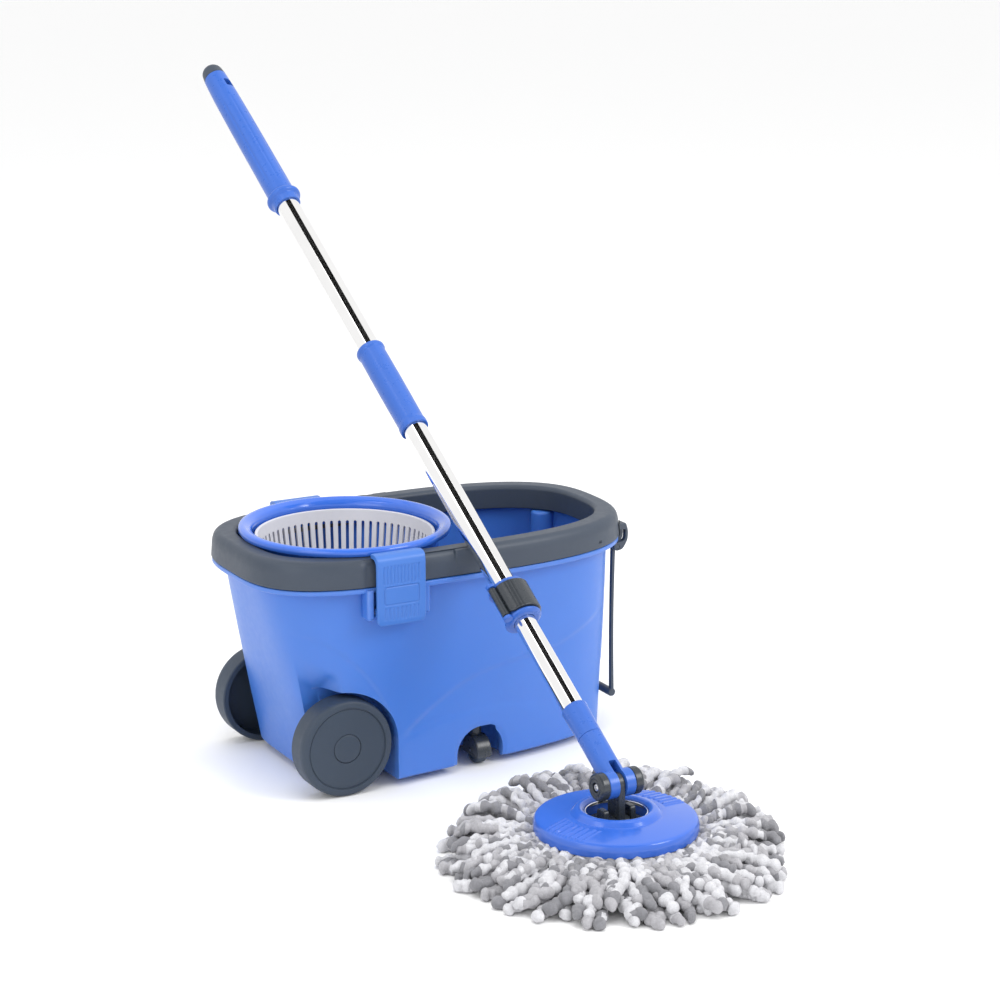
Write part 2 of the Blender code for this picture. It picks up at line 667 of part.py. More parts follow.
def basket_drive():
    """The bush in the basket's hub, the cone over it, and the steel spindle on the post."""
    floor = BASKET_FLOOR
    bush = HUB_BORE - GAP
    bore = SPINDLE_RADIUS + RUNNING
    turned("basket_bush", "white_plastic", BASKET, [
        (bush, floor + 0.0065), (bush, floor - 0.0195), (bush + 0.002, floor - 0.0195),
        (bush + 0.002, POST_TOP + GAP), (bore, POST_TOP + GAP), (bore, floor + 0.0065)], steps=20)
    cone_foot = floor + 0.0003
    turned("basket_cone", "basket_plastic", BASKET, [
        (0, floor + CONE_HEIGHT), (0.006, floor + CONE_HEIGHT - 0.0006),
        (0.0115, floor + CONE_HEIGHT - 0.004), (CONE_RADIUS - 0.003, floor + 0.004),
        (CONE_RADIUS, cone_foot), (CONE_RADIUS - 0.003, cone_foot), (0.0135, floor + 0.0080),
        (0.0070, floor + CONE_HEIGHT - 0.008), (0, floor + CONE_HEIGHT - 0.008)], steps=24)
    rod("basket_spindle", "steel", SET, SPINDLE_RADIUS, POST_TOP - 0.0107, floor + 0.0120,
        at=(RING_X, 0, 0))


# ---------------------------------------------------------------- latches
def latch(side, sign):
    """A hooked plate on a pin: its barrel between the ears, its hook over the rim."""
    pivot = frame_at(f"latch_axis_{side}", mirrored(sign, LATCH_PIVOT)[0], parent=SET)
    half = LATCH_WIDTH / 2
    outer = HALF_WIDTH + 0.0043 - LATCH_PIVOT.y
    inner = outer - LATCH_THICKNESS
    top = RIM_TOP + 0.0056 - LATCH_PIVOT.z
    bottom = RIM_TOP - LATCH_BOTTOM - LATCH_PIVOT.z
    hook_tip = HALF_WIDTH - 0.0145 - LATCH_PIVOT.y
    hook_under = RIM_TOP + 0.0012 - LATCH_PIVOT.z
    side_view = [(outer - 0.0008, bottom), (outer, bottom + 0.004), (outer + 0.0004, 0.0), (outer, top - 0.009),
                 (outer - 0.0012, top - 0.004), (outer - 0.0045, top - 0.0008), (outer - 0.009, top),
                 (hook_tip, top - 0.0006), (hook_tip, hook_under), (outer - 0.0085, hook_under),
                 (outer - 0.0050, hook_under - 0.0030), (inner, hook_under - 0.0070),
                 (inner, bottom + 0.001)]
    outline = [(sign * y, z) for y, z in side_view]
    if sign > 0:
        outline.reverse()
    body = plate(f"latch_{side}", "blue_plastic", pivot, outline, LATCH_WIDTH,
                 at=(-half, 0, 0), turn=(math.pi / 2, 0, math.pi / 2))
    barrel = rod(f"latch_barrel_{side}", None, pivot, 0.0047, -half + 0.0005, half - 0.0005, "X", sides=20)
    web = side_block(f"latch_web_{side}", None, pivot, sign, (-half + 0.0005, 0.0005, -0.0035),
                     (half - 0.0005, inner + 0.001, 0.0035))
    bore = rod(f"latch_pin_bore_{side}", None, pivot, LATCH_PIN_RADIUS + RUNNING, -half - 0.01, half + 0.01,
               "X", sides=16)
    join(body, barrel, web)
    cut(body, bore)
    rod(f"latch_pin_{side}", "steel", SET, LATCH_PIN_RADIUS, -EAR_OUTER + 0.0005, EAR_OUTER - 0.0005, "X",
        at=mirrored(sign, LATCH_PIVOT)[0], sides=16)


# ---------------------------------------------------------------- big wheels
def big_wheel(side, sign):
    """A hollow wheel, open on its inner side, with its cap and stub axle."""
    hub = frame_at(f"wheel_axis_{side}", (WHEEL_X, sign * WHEEL_OUTER, WHEEL_RADIUS),
                   turn=(-sign * math.pi / 2, 0, 0), parent=SET)
    bore = AXLE_RADIUS + RUNNING
    r = WHEEL_RADIUS
    face = -0.0012
    web = face - 0.003
    inner_end = -WHEEL_WIDTH
    cap = HUB_CAP_RADIUS + GAP
    profile = [(r - 0.0075, 0), (r - 0.0014, -0.0010), (r, -0.0050), (r, inner_end + 0.0010),
               (r - 0.0010, inner_end), (r - TYRE_WALL, inner_end), (r - TYRE_WALL, web), (HUB_RADIUS, web),
               (HUB_RADIUS, inner_end + 0.0008), (bore, inner_end + 0.0008), (bore, -0.0032), (cap, -0.0032),
               (cap, face), (r - 0.0092, face)]
    turned(f"wheel_{side}", "dark_plastic", hub, profile, steps=32)
    turned(f"wheel_cap_{side}", "dark_plastic", hub, [
        (0, -0.0004), (HUB_CAP_RADIUS - 0.0012, -0.0006), (HUB_CAP_RADIUS, -0.0014),
        (HUB_CAP_RADIUS, -0.0029), (0, -0.0029)], steps=24)
    side_rod(f"wheel_axle_{side}", "steel", SET, sign, AXLE_RADIUS, WELL_INNER + GAP,
             WHEEL_OUTER - 0.0035, WHEEL_X, WHEEL_RADIUS)


# ---------------------------------------------------------------- casters
def caster(side, sign):
    """A hooded fork on a swivel stem, and its wheel, which trails outwards at rest."""
    swivel = frame_at(f"caster_swivel_{side}", (CASTER_X, sign * CASTER_Y, 0), parent=SET)
    trail = sign * CASTER_TRAIL
    half = CASTER_WIDTH / 2 + 0.0005
    cheek = half + 0.0022
    shell = CASTER_RADIUS + 0.0012
    hood = rod(f"caster_fork_{side}", "dark_plastic", swivel, shell + 0.002, -cheek, cheek, "X",
               at=(0, trail, CASTER_RADIUS), sides=24)
    under = block(f"hood_under_{side}", None, swivel, (-0.02, trail - 0.03, -0.02),
                  (0.02, trail + 0.03, CASTER_RADIUS - 0.004))
    neck = rod(f"hood_neck_{side}", None, swivel, 0.0072, CASTER_RADIUS + 0.006, CASTER_RECESS_TOP - 0.0008,
               sides=24)
    space = rod(f"hood_space_{side}", None, swivel, shell, -half, half, "X",
                at=(0, trail, CASTER_RADIUS), sides=24)
    mouth = block(f"hood_mouth_{side}", None, swivel, (-half, trail - shell, -0.02),
                  (half, trail + shell, CASTER_RADIUS))
    axle_bore = rod(f"caster_bore_{side}", None, swivel, 0.0018 + RUNNING, -0.02, 0.02, "X",
                    at=(0, trail, CASTER_RADIUS), sides=16)
    stem_bore = rod(f"neck_bore_{side}", None, swivel, STEM_RADIUS + GAP, CASTER_RECESS_TOP - 0.0090,
                    CASTER_RECESS_TOP + 0.01)
    join(hood, neck)
    cut(hood, under, space, mouth, axle_bore, stem_bore)
    rod(f"caster_stem_{side}", "steel", swivel, STEM_RADIUS, CASTER_RECESS_TOP - 0.0087,
        CASTER_RECESS_TOP + 0.0120)
    rod(f"caster_axle_{side}", "steel", swivel, 0.0018, -cheek + 0.0003, cheek - 0.0003, "X",
        at=(0, trail, CASTER_RADIUS), sides=16)
    wheel = frame_at(f"caster_axis_{side}", (0, trail, CASTER_RADIUS), turn=(0, math.pi / 2, 0),
                     parent=swivel)
    width = CASTER_WIDTH / 2
    turned(f"caster_wheel_{side}", "dark_plastic", wheel, [
        (CASTER_RADIUS - 0.0015, width), (CASTER_RADIUS, width - 0.0015),
        (CASTER_RADIUS, -width + 0.0015), (CASTER_RADIUS - 0.0015, -width),
        (0.0018 + RUNNING, -width), (0.0018 + RUNNING, width)], steps=24)


# ---------------------------------------------------------------- pull handle
ARM_Y = HANDLE_SPREAD / 2
CURL_RADIUS = 0.0046
HINGE_X = end_wall_at(LIP_BOTTOM - 0.0002, ARM_Y - BRACKET_WIDTH / 2) + CURL_RADIUS + 2 * GAP
HINGE = Vector((HINGE_X, 0, RIM_TOP - HANDLE_PIN_DROP))
HANDLE_DROP = HINGE.z - GRIP_BAR_HEIGHT


def handle_bracket(side, sign, rim_cutter):
    """Two curled lugs on one base, hooked under the rim, which hold one hinge pin."""
    z = HINGE.z
    base = RIM_TOP - 0.0045
    face = RIGHT - 0.0004 - HINGE.x
    outline = [(face, base - z), (face, 0.0125), (face - 0.0012, 0.0060), (face - 0.0045, 0.0010)]
    outline += [(0.0070, -0.0036)]
    outline += arc(CURL_RADIUS, math.radians(-75), math.radians(-200), 6)
    outline += [(-0.0036, 0.0040), (0.0045, 0.0050), (0.0085, 0.0066), (0.0095, 0.0100),
                (0.0095, 0.0180), (-0.0010, 0.0190), (-0.0010, base - z)]
    bracket = plate(f"handle_bracket_{side}", "dark_plastic", SET, outline, BRACKET_WIDTH,
                    at=(HINGE.x, sign * ARM_Y + BRACKET_WIDTH / 2, z), turn=(math.pi / 2, 0, 0))
    slot_half = HANDLE_ARM_WIDTH / 2 + 0.0005
    slot = block(f"bracket_slot_{side}", None, SET,
                 (HINGE.x - 0.02, sign * ARM_Y - slot_half, z - 0.02),
                 (HINGE.x + 0.04, sign * ARM_Y + slot_half, z + 0.0188))
    bore = rod(f"bracket_bore_{side}", None, SET, HANDLE_PIN_RADIUS + RUNNING, -0.012, 0.012, "Y",
               at=(HINGE.x, sign * ARM_Y, z), sides=16)
    cut(bracket, rim_cutter, slot, bore)
    rod(f"handle_pin_{side}", "steel", SET, HANDLE_PIN_RADIUS, -BRACKET_WIDTH / 2 + 0.0004,
        BRACKET_WIDTH / 2 - 0.0004, "Y", at=(HINGE.x, sign * ARM_Y, z), sides=16)


def pull_handle():
    """Two flat arms with eyes at the hinge and a round grip bar at their lower end."""
    hinge = frame_at("pull_handle_axis", HINGE, parent=SET)
    half_width = HANDLE_ARM_WIDTH / 2
    half_thick = HANDLE_ARM_THICKNESS / 2
    bar = rod("pull_handle", "dark_plastic", hinge, GRIP_BAR_RADIUS, -ARM_Y - half_width - 0.001,
              ARM_Y + half_width + 0.001, "Y", at=(-0.002, 0, -HANDLE_DROP))
    for side, sign in SIDES:
        arm = block(f"handle_arm_{side}", None, hinge,
                    (-half_thick - 0.002, sign * ARM_Y - half_width, -HANDLE_DROP),
                    (half_thick - 0.002, sign * ARM_Y + half_width, 0.0))
        eye = rod(f"handle_eye_{side}", None, hinge, 0.0044, sign * ARM_Y - half_width - 0.00005,
                  sign * ARM_Y + half_width + 0.00005, "Y")
        hole = rod(f"handle_hole_{side}", None, hinge, HANDLE_PIN_RADIUS + RUNNING, sign * ARM_Y - 0.01,
                   sign * ARM_Y + 0.01, "Y", sides=16)
        join(bar, arm, eye)
        cut(bar, hole)
    return bar


# ---------------------------------------------------------------- mop head
HEAD = frame_at("mop_head_frame", (MOP_X, MOP_Y, 0), turn=(0, 0, TURN), parent=SET)
PLATE_BOTTOM = YARN_THICKNESS + GAP
PLATE_TOP = PLATE_BOTTOM + PLATE_EDGE


def yarn_head():
    """The looped yarn as one soft solid, flat on the floor."""
    r, top = YARN_RADIUS, YARN_THICKNESS
    recess = 0.0270
    return turned("yarn_head", "yarn", HEAD, [
        (PLATE_RADIUS + 0.004, top), (r * 0.80, top - 0.009), (r - 0.003, 0.0120), (r, 0.0060),
        (r - 0.004, 0), (0.020, 0), (0.020, recess), (0.060, recess), (0.060, top)], steps=36)


def refill_ring():
    """The ring that the yarn is sewn to, which snaps into the plate from below."""
    low = 0.0270 + GAP
    high = YARN_THICKNESS
    return turned("refill_ring", "white_plastic", HEAD, [
        (0.0595, high), (0.0595, low), (0.0330, low), (0.0330, high)], steps=32)


def mop_plate():
    r, top = PLATE_RADIUS, PLATE_TOP
    ring, hole = PLATE_RING_RADIUS, PLATE_OPENING
    crown = top + PLATE_RISE
    return turned("mop_plate", "blue_plastic", HEAD, [
        (hole + 0.0050, crown + 0.0058), (hole + 0.0085, crown + 0.0050), (ring, crown),
        (r - 0.0040, top), (r, top - 0.0040), (r, PLATE_BOTTOM), (r - 0.0034, PLATE_BOTTOM),
        (r - 0.0036, top - 0.0050), (ring, crown - 0.0042), (ring - 0.0040, PLATE_BOTTOM + 0.0020),
        (hole - 0.007, PLATE_BOTTOM + 0.0020), (hole - 0.007, PLATE_BOTTOM + 0.0045),
        (hole, PLATE_BOTTOM + 0.0045), (hole, crown + 0.0030)], steps=32)


def plate_trim():
    """The bright ring around the plate's opening."""
    z = PLATE_TOP + PLATE_RISE + 0.0020
    r = PLATE_OPENING - GAP
    return turned("plate_trim", "chrome", HEAD, [
        (r, z), (r, z - 0.0030), (r - 0.0014, z - 0.0030), (r - 0.0014, z)], steps=32)


def plate_hub():
    """The dark hub in the plate's opening, with the tongue that stands up to the fork pin."""
    low = PLATE_BOTTOM + 0.0045 + GAP
    r = PLATE_OPENING - 0.0022
    hub = turned("plate_hub", "dark_plastic", HEAD, [
        (0, low + 0.0085), (0.0120, low + 0.0080), (0.0150, low + 0.0040), (r, low + 0.0028),
        (r, low), (0, low)], steps=28)
    half = TONGUE_WIDTH / 2
    tongue = block("hub_tongue", None, HEAD, (-half, -TONGUE_EYE, low + 0.001), (half, TONGUE_EYE, PIVOT_HEIGHT))
    eye = rod("hub_eye", None, HEAD, TONGUE_EYE, -half - 0.00005, half + 0.00005, "X", at=(0, 0, PIVOT_HEIGHT),
              sides=28)
    bore = rod("hub_bore", None, HEAD, FORK_PIN_RADIUS + RUNNING, -0.02, 0.02, "X", at=(0, 0, PIVOT_HEIGHT))
    join(hub, tongue, eye)
    return cut(hub, bore)


# ---------------------------------------------------------------- fork and handle, along their own Z
POLE = frame_at("handle_frame", (MOP_X, MOP_Y, PIVOT_HEIGHT), turn=(-LEAN, 0, TURN), parent=SET)
DRUM_INNER = TONGUE_WIDTH / 2 + 0.0005
SOCKET_RADIUS = INNER_TUBE + 0.0014
DRUM_OUTER = SOCKET_RADIUS + DRUM_PROUD
CAP_OUTER = DRUM_OUTER + GAP + CAP_WIDTH


def fork_yoke():
    """Two drums either side of the tongue, joined above it, with a spigot for the lower tube."""
    yoke = turned("fork_yoke", "blue_plastic", POLE, [
        (0, SEAM + 0.026), (INNER_BORE - GAP, SEAM + 0.026), (INNER_BORE - GAP, SEAM), (SOCKET_RADIUS, SEAM),
        (SOCKET_RADIUS, 0.026), (SOCKET_RADIUS + 0.0004, 0.006), (0, 0.006)], steps=24)
    drums = rod("fork_drums", None, POLE, DRUM_RADIUS, -DRUM_OUTER, DRUM_OUTER, "X", sides=28)
    slot = block("fork_slot", None, POLE, (-DRUM_INNER, -0.03, -0.03), (DRUM_INNER, 0.03, 0.0190))
    bore = rod("fork_bore", None, POLE, FORK_PIN_RADIUS + RUNNING, -0.04, 0.04, "X")
    join(yoke, drums)
    return cut(yoke, slot, bore)


def fork_hardware():
    """The pin through drums and tongue, with a cap and a screw at each end."""
    screw_shank = 0.0016
    pin = rod("fork_pin", "steel", POLE, FORK_PIN_RADIUS, -CAP_OUTER + 0.0040, CAP_OUTER - 0.0040, "X")
    threads = [rod(f"fork_thread_{end}", None, POLE, screw_shank + GAP, -0.0062, 0.0062, "X",
                   at=(sign * (CAP_OUTER - 0.0040), 0, 0), sides=16) for end, sign in (("left", -1), ("right", 1))]
    cut(pin, *threads)
    for end, sign in (("left", -1), ("right", 1)):
        out = frame_at(f"fork_end_{end}", (0, 0, 0), turn=(0, sign * math.pi / 2, 0), parent=POLE)
        start = DRUM_OUTER + GAP
        turned(f"fork_cap_{end}", "dark_plastic", out, [
            (DRUM_RADIUS - 0.0022, CAP_OUTER), (DRUM_RADIUS - 0.0004, CAP_OUTER - 0.0008),
            (DRUM_RADIUS, CAP_OUTER - 0.0026), (DRUM_RADIUS, start), (FORK_PIN_RADIUS + RUNNING, start),
            (FORK_PIN_RADIUS + RUNNING, CAP_OUTER - 0.0036), (0.0050, CAP_OUTER - 0.0036),
            (0.0050, CAP_OUTER)], steps=24)
        turned(f"cap_screw_{end}", "steel", out, [
            (0, CAP_OUTER - 0.0006), (0.0036, CAP_OUTER - 0.0010), (0.0042, CAP_OUTER - 0.0020),
            (0.0042, CAP_OUTER - 0.0033), (screw_shank, CAP_OUTER - 0.0033),
            (screw_shank, CAP_OUTER - 0.0095), (0, CAP_OUTER - 0.0095)], steps=16)


def tube(name, look, parent, radius, wall, start, end):
    return turned(name, look, parent, [
        (radius, end), (radius, start), (radius - wall, start), (radius - wall, end)], steps=28)


def lower_handle():
    """The socket, the inner tube in it, and the bush that centres its top in the outer tube."""
    turned("socket_sleeve", "blue_plastic", POLE, [
        (SOCKET_RADIUS, SOCKET_TOP), (SOCKET_RADIUS + 0.0008, SOCKET_TOP - 0.0010),
        (SOCKET_RADIUS, SEAM + GAP),
        (INNER_TUBE + GAP, SEAM + GAP), (INNER_TUBE + GAP, SOCKET_TOP)], steps=28)
    tube("lower_tube", "chrome", POLE, INNER_TUBE, INNER_WALL, SEAM + GAP, INNER_TUBE_TOP)
    turned("guide_bush", "white_plastic", POLE, [
        (OUTER_BORE - GAP, INNER_TUBE_TOP + 0.0080), (OUTER_BORE - GAP, INNER_TUBE_TOP + GAP),
        (ROD_WIDTH / 2 + 0.0010, INNER_TUBE_TOP + GAP), (ROD_WIDTH / 2 + 0.0010, INNER_TUBE_TOP + 0.0080)],
        steps=28)


def twisted_strip(name, look, parent, start, end, width, thickness):
    """A flat strip twisted about Z at the rod's pitch, its flat side along X at height zero."""
    step = ROD_PITCH / 32
    first, last = math.ceil(start / step + 0.2), math.floor(end / step - 0.2)
    half_w, half_t = width / 2, thickness / 2
    rings = []
    for height in [start] + [step * i for i in range(first, last + 1)] + [end]:
        spin = Matrix.Rotation(2 * math.pi * height / ROD_PITCH, 3, "Z")
        corners = ((half_w, -half_t), (half_w, half_t), (-half_w, half_t), (-half_w, -half_t))
        rings.append([spin @ Vector((x, y, 0)) + Vector((0, 0, height)) for x, y in corners])
    return loft(name, look, parent, rings)


NUT_LOW = INNER_TUBE_TOP - 0.0150
NUT_HIGH = INNER_TUBE_TOP - 0.0030
STROKE_FRAME = frame_at("stroke_frame", (0, 0, 0), parent=POLE)


def spiral_drive():
    """The nut in the inner tube, and the twisted rod that its slot rides on."""
    nut = rod("drive_nut", "white_plastic", POLE, INNER_BORE - RUNNING, NUT_LOW, NUT_HIGH, sides=28)
    slot = twisted_strip("nut_slot", None, POLE, NUT_LOW - 0.009, NUT_HIGH + 0.009,
                         ROD_WIDTH + 0.0010, ROD_THICKNESS + 0.0010)
    cut(nut, slot)
    top = ANCHOR_BOTTOM + ANCHOR_LENGTH - 0.0022
    twisted_strip("twisted_rod", "steel", STROKE_FRAME, ROD_BOTTOM, top, ROD_WIDTH, ROD_THICKNESS)
    anchor = rod("rod_anchor", "dark_plastic", STROKE_FRAME, OUTER_BORE - GAP, ANCHOR_BOTTOM,
                 ANCHOR_BOTTOM + ANCHOR_LENGTH, sides=28)
    socket = twisted_strip("anchor_socket", None, STROKE_FRAME, ANCHOR_BOTTOM - 0.009, top + GAP,
                           ROD_WIDTH + 3 * GAP, ROD_THICKNESS + 3 * GAP)
    cut(anchor, socket)


LEVER_PIN_REACH = CLAMP_RADIUS + 0.0047
LEVER_PIN = Vector((math.cos(LEVER_PIN_ANGLE), math.sin(LEVER_PIN_ANGLE), 0)) * LEVER_PIN_REACH
CLAMP_STEP = CLAMP_BOTTOM + 0.0250
FLANGE = 0.0040


def clamp_collar():
    """A collar whose lower bore fits the inner tube and whose upper bore holds the outer tube."""
    collar = turned("clamp_collar", "blue_plastic", STROKE_FRAME, [
        (OUTER_TUBE + 0.0022, CLAMP_TOP), (CLAMP_FLANGE, CLAMP_TOP - 0.0015), (CLAMP_FLANGE, CLAMP_TOP - FLANGE),
        (CLAMP_RADIUS, CLAMP_TOP - FLANGE), (CLAMP_RADIUS, CLAMP_BOTTOM + FLANGE),
        (CLAMP_FLANGE, CLAMP_BOTTOM + FLANGE), (CLAMP_FLANGE, CLAMP_BOTTOM + 0.0015),
        (INNER_TUBE + 0.0040, CLAMP_BOTTOM), (INNER_TUBE + RUNNING, CLAMP_BOTTOM),
        (INNER_TUBE + RUNNING, CLAMP_STEP), (OUTER_TUBE + GAP, CLAMP_STEP), (OUTER_TUBE + GAP, CLAMP_TOP)],
        steps=24)
    for level, low in (("low", CLAMP_BOTTOM + 0.0002), ("high", CLAMP_TOP - FLANGE + 0.0002)):
        lug = rod(f"clamp_lug_{level}", None, STROKE_FRAME, 0.0045, low, low + FLANGE - 0.0004,
                  at=(LEVER_PIN.x, LEVER_PIN.y, 0), sides=14)
        join(collar, lug)
    pin_bore = rod("clamp_pin_bore", None, STROKE_FRAME, LEVER_PIN_RADIUS + RUNNING, CLAMP_BOTTOM + 0.0012,
                   CLAMP_TOP - 0.0012, at=(LEVER_PIN.x, LEVER_PIN.y, 0), sides=12)
    split = block("clamp_split", None, STROKE_FRAME, (-0.0009, 0.005, CLAMP_BOTTOM - 0.01),
                  (0.0009, 0.03, CLAMP_TOP + 0.01))
    cut(collar, pin_bore, split)
    rod("lever_pin", "steel", STROKE_FRAME, LEVER_PIN_RADIUS, CLAMP_BOTTOM + 0.0015, CLAMP_TOP - 0.0015,
        at=(LEVER_PIN.x, LEVER_PIN.y, 0), sides=12)


def clamp_lever():
    """A wrap-around lever on its pin, lying on the collar between the flanges."""
    pivot = frame_at("clamp_lever_axis", LEVER_PIN, parent=STROKE_FRAME)
    low = CLAMP_BOTTOM + FLANGE + 0.0012
    high = CLAMP_TOP - FLANGE - 0.0012
    inner, outer = CLAMP_RADIUS + 0.0007, CLAMP_RADIUS + 0.0043
    start, end = LEVER_PIN_ANGLE + math.radians(8), LEVER_PIN_ANGLE + LEVER_SWEEP
    outline = arc(outer, start, end - 0.06, 14)
    outline += [(outline[-1][0] + 0.0016, outline[-1][1] + 0.0006)]
    outline += arc(inner, end, start, 14)
    outline = [(x - LEVER_PIN.x, y - LEVER_PIN.y) for x, y in outline]
    lever = plate("clamp_lever", "dark_plastic", pivot, outline, high - low, at=(0, 0, low))
    knuckle = rod("lever_knuckle", None, pivot, 0.0039, low + 0.0001, high - 0.0001, sides=16)
    bore = rod("lever_bore", None, pivot, LEVER_PIN_RADIUS + RUNNING, low - 0.01, high + 0.01, sides=12)
    join(lever, knuckle)
    return cut(lever, bore)


def upper_handle():
    """Outer tubes, the joiner inside them, the middle grip over their joint, and the top grip."""
    tube("middle_tube", "chrome", STROKE_FRAME, OUTER_TUBE, OUTER_WALL, CLAMP_STEP + GAP, TUBE_JOINT - GAP / 2)
    grip_bore_top = TOP_GRIP_BOTTOM + 0.075
    tube("upper_tube", "chrome", STROKE_FRAME, OUTER_TUBE, OUTER_WALL, TUBE_JOINT + GAP / 2,
         grip_bore_top - GAP)
    rod("tube_joiner", "dark_plastic", STROKE_FRAME, OUTER_BORE - GAP, TUBE_JOINT - 0.045, TUBE_JOINT + 0.045)
    bore = OUTER_TUBE + GAP
    turned("mid_grip", "blue_plastic", STROKE_FRAME, [
        (GRIP_RADIUS, MID_GRIP_TOP), (GRIP_RADIUS + 0.0009, MID_GRIP_TOP - 0.0012),
        (GRIP_RADIUS + 0.0009, MID_GRIP_TOP - 0.0050), (GRIP_RADIUS - 0.0003, MID_GRIP_TOP - 0.0075),
        (GRIP_RADIUS, MID_GRIP_BOTTOM + 0.0090), (GRIP_RADIUS + 0.0007, MID_GRIP_BOTTOM + 0.0050),
        (GRIP_RADIUS + 0.0001, MID_GRIP_BOTTOM), (bore, MID_GRIP_BOTTOM),
        (bore, MID_GRIP_TOP)], steps=28)


def top_grip():
    """A tapered grip with a flange, closed above the tube, with a hanging hole near its top."""
    low, high = TOP_GRIP_BOTTOM, TOP_GRIP_TOP
    bore = OUTER_TUBE + GAP
    bore_top = low + 0.075
    grip = turned("top_grip", "blue_plastic", STROKE_FRAME, [
        (0, high), (GRIP_RADIUS - 0.0017, high), (GRIP_RADIUS - 0.0005, high - 0.030),
        (GRIP_RADIUS + 0.0001, high - 0.090), (GRIP_RADIUS + 0.0005, low + 0.0165),
        (GRIP_RADIUS + 0.0041, low + 0.0150), (GRIP_RADIUS + 0.0046, low + 0.0125),
        (GRIP_RADIUS + 0.0039, low + 0.0100), (GRIP_RADIUS + 0.0009, low + 0.0085),
        (GRIP_RADIUS + 0.0003, low), (bore, low), (bore, bore_top),
        (0, bore_top)], steps=28)
    socket = rod("cap_socket", None, STROKE_FRAME, 0.0085 + GAP, high - 0.0085, high + 0.01)
    hole_height = high - 0.0213
    hole = block("hang_hole", None, STROKE_FRAME, (-0.0052, -0.03, hole_height - 0.0060),
                 (0.0052, 0.03, hole_height + 0.0060), turn=(0, 0, HANG_HOLE_TURN), bevel=0.0022)
    cut(grip, socket, hole)
    turned("end_cap", "dark_plastic", STROKE_FRAME, [
        (0, HANDLE_TOP), (GRIP_RADIUS - 0.0099, HANDLE_TOP - 0.0006),
        (GRIP_RADIUS - 0.0059, HANDLE_TOP - 0.0028), (GRIP_RADIUS - 0.0031, HANDLE_TOP - 0.0070),
        (GRIP_RADIUS - 0.0017, high + GAP), (0.0085, high + GAP),
        (0.0085, high - 0.0080), (0, high - 0.0080)], steps=28)


# ---------------------------------------------------------------- build
def build():
    bucket_body()
    rim_band()
    splash_ring()
    spin_basket()
    basket_drive()
    rim_outline = [(x, y) for x, y in rim_oval(-0.0004)]
    rim_cutter = plate("bracket_seat", None, SET, rim_outline, 0.05, at=(0, 0, LIP_BOTTOM - 0.0006))
    for side, sign in SIDES:
        latch(side, sign)
        big_wheel(side, sign)
        caster(side, sign)
        handle_bracket(side, sign, rim_cutter)
    pull_handle()
    yarn_head()
    refill_ring()
    mop_plate()
    plate_trim()
    plate_hub()
    fork_yoke()
    fork_hardware()
    lower_handle()
    spiral_drive()
    clamp_collar()
    clamp_lever()
    upper_handle()
    top_grip()


build()
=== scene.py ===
import json
import math
import random

import bmesh
import bpy
import numpy as np
from mathutils import Matrix, Vector, noise


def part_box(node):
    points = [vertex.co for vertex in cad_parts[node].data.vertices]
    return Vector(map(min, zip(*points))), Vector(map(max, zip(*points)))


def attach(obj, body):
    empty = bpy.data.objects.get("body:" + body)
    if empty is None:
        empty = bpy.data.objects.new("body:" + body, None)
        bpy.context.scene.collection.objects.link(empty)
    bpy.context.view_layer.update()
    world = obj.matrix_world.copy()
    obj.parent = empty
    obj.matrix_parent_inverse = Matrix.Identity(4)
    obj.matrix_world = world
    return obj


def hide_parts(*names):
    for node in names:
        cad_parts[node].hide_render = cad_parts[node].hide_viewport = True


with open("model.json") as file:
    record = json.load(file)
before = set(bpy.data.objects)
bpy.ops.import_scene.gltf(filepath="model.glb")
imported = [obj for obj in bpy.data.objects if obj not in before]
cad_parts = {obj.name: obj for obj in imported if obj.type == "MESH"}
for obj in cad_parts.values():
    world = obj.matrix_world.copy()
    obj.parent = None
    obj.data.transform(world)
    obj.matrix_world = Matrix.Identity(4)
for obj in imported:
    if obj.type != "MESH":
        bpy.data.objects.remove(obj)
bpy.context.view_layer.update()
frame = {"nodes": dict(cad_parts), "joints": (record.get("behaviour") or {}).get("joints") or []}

# ---------------------------------------------------------------- places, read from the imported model
JOINTS = {joint["name"]: joint for joint in frame["joints"]}
rim_low, rim_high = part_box("rim_band")
RIM_MIDDLE = -0.003
BUCKET = Vector(((rim_low.x + rim_high.x) / 2 - RIM_MIDDLE, (rim_low.y + rim_high.y) / 2, 0))
SET = Matrix.Translation(BUCKET)
HALF_LENGTH = (rim_high.x - rim_low.x) / 2
HALF_WIDTH = (rim_high.y - rim_low.y) / 2
RING_X = JOINTS["basket_spin"]["pos_m"][0] - BUCKET.x
RING = SET @ Matrix.Translation((RING_X, 0, 0))
PIVOT = Vector(JOINTS["mop_tilt"]["pos_m"])
ACROSS = Vector(JOINTS["mop_tilt"]["axis"])
ALONG = Vector(JOINTS["handle_stroke"]["axis"])
POLE = Matrix.Translation(PIVOT) @ Matrix((ACROSS, ALONG.cross(ACROSS), ALONG)).transposed().to_4x4()
HEAD = Matrix.Translation((PIVOT.x, PIVOT.y, 0)) @ Matrix.Rotation(math.atan2(ACROSS.y, ACROSS.x), 4, "Z")
SIDES = (("front", -1), ("rear", 1))


# ---------------------------------------------------------------- bench tools
def clamp(value, low=0.0, high=1.0):
    return min(max(value, low), high)


def ease(value):
    value = clamp(value)
    return value * value * (3 - 2 * value)


def hump(value, middle, reach):
    """1 in the middle, falling smoothly to 0 at reach on either side."""
    return ease(1 - abs(value - middle) / reach)


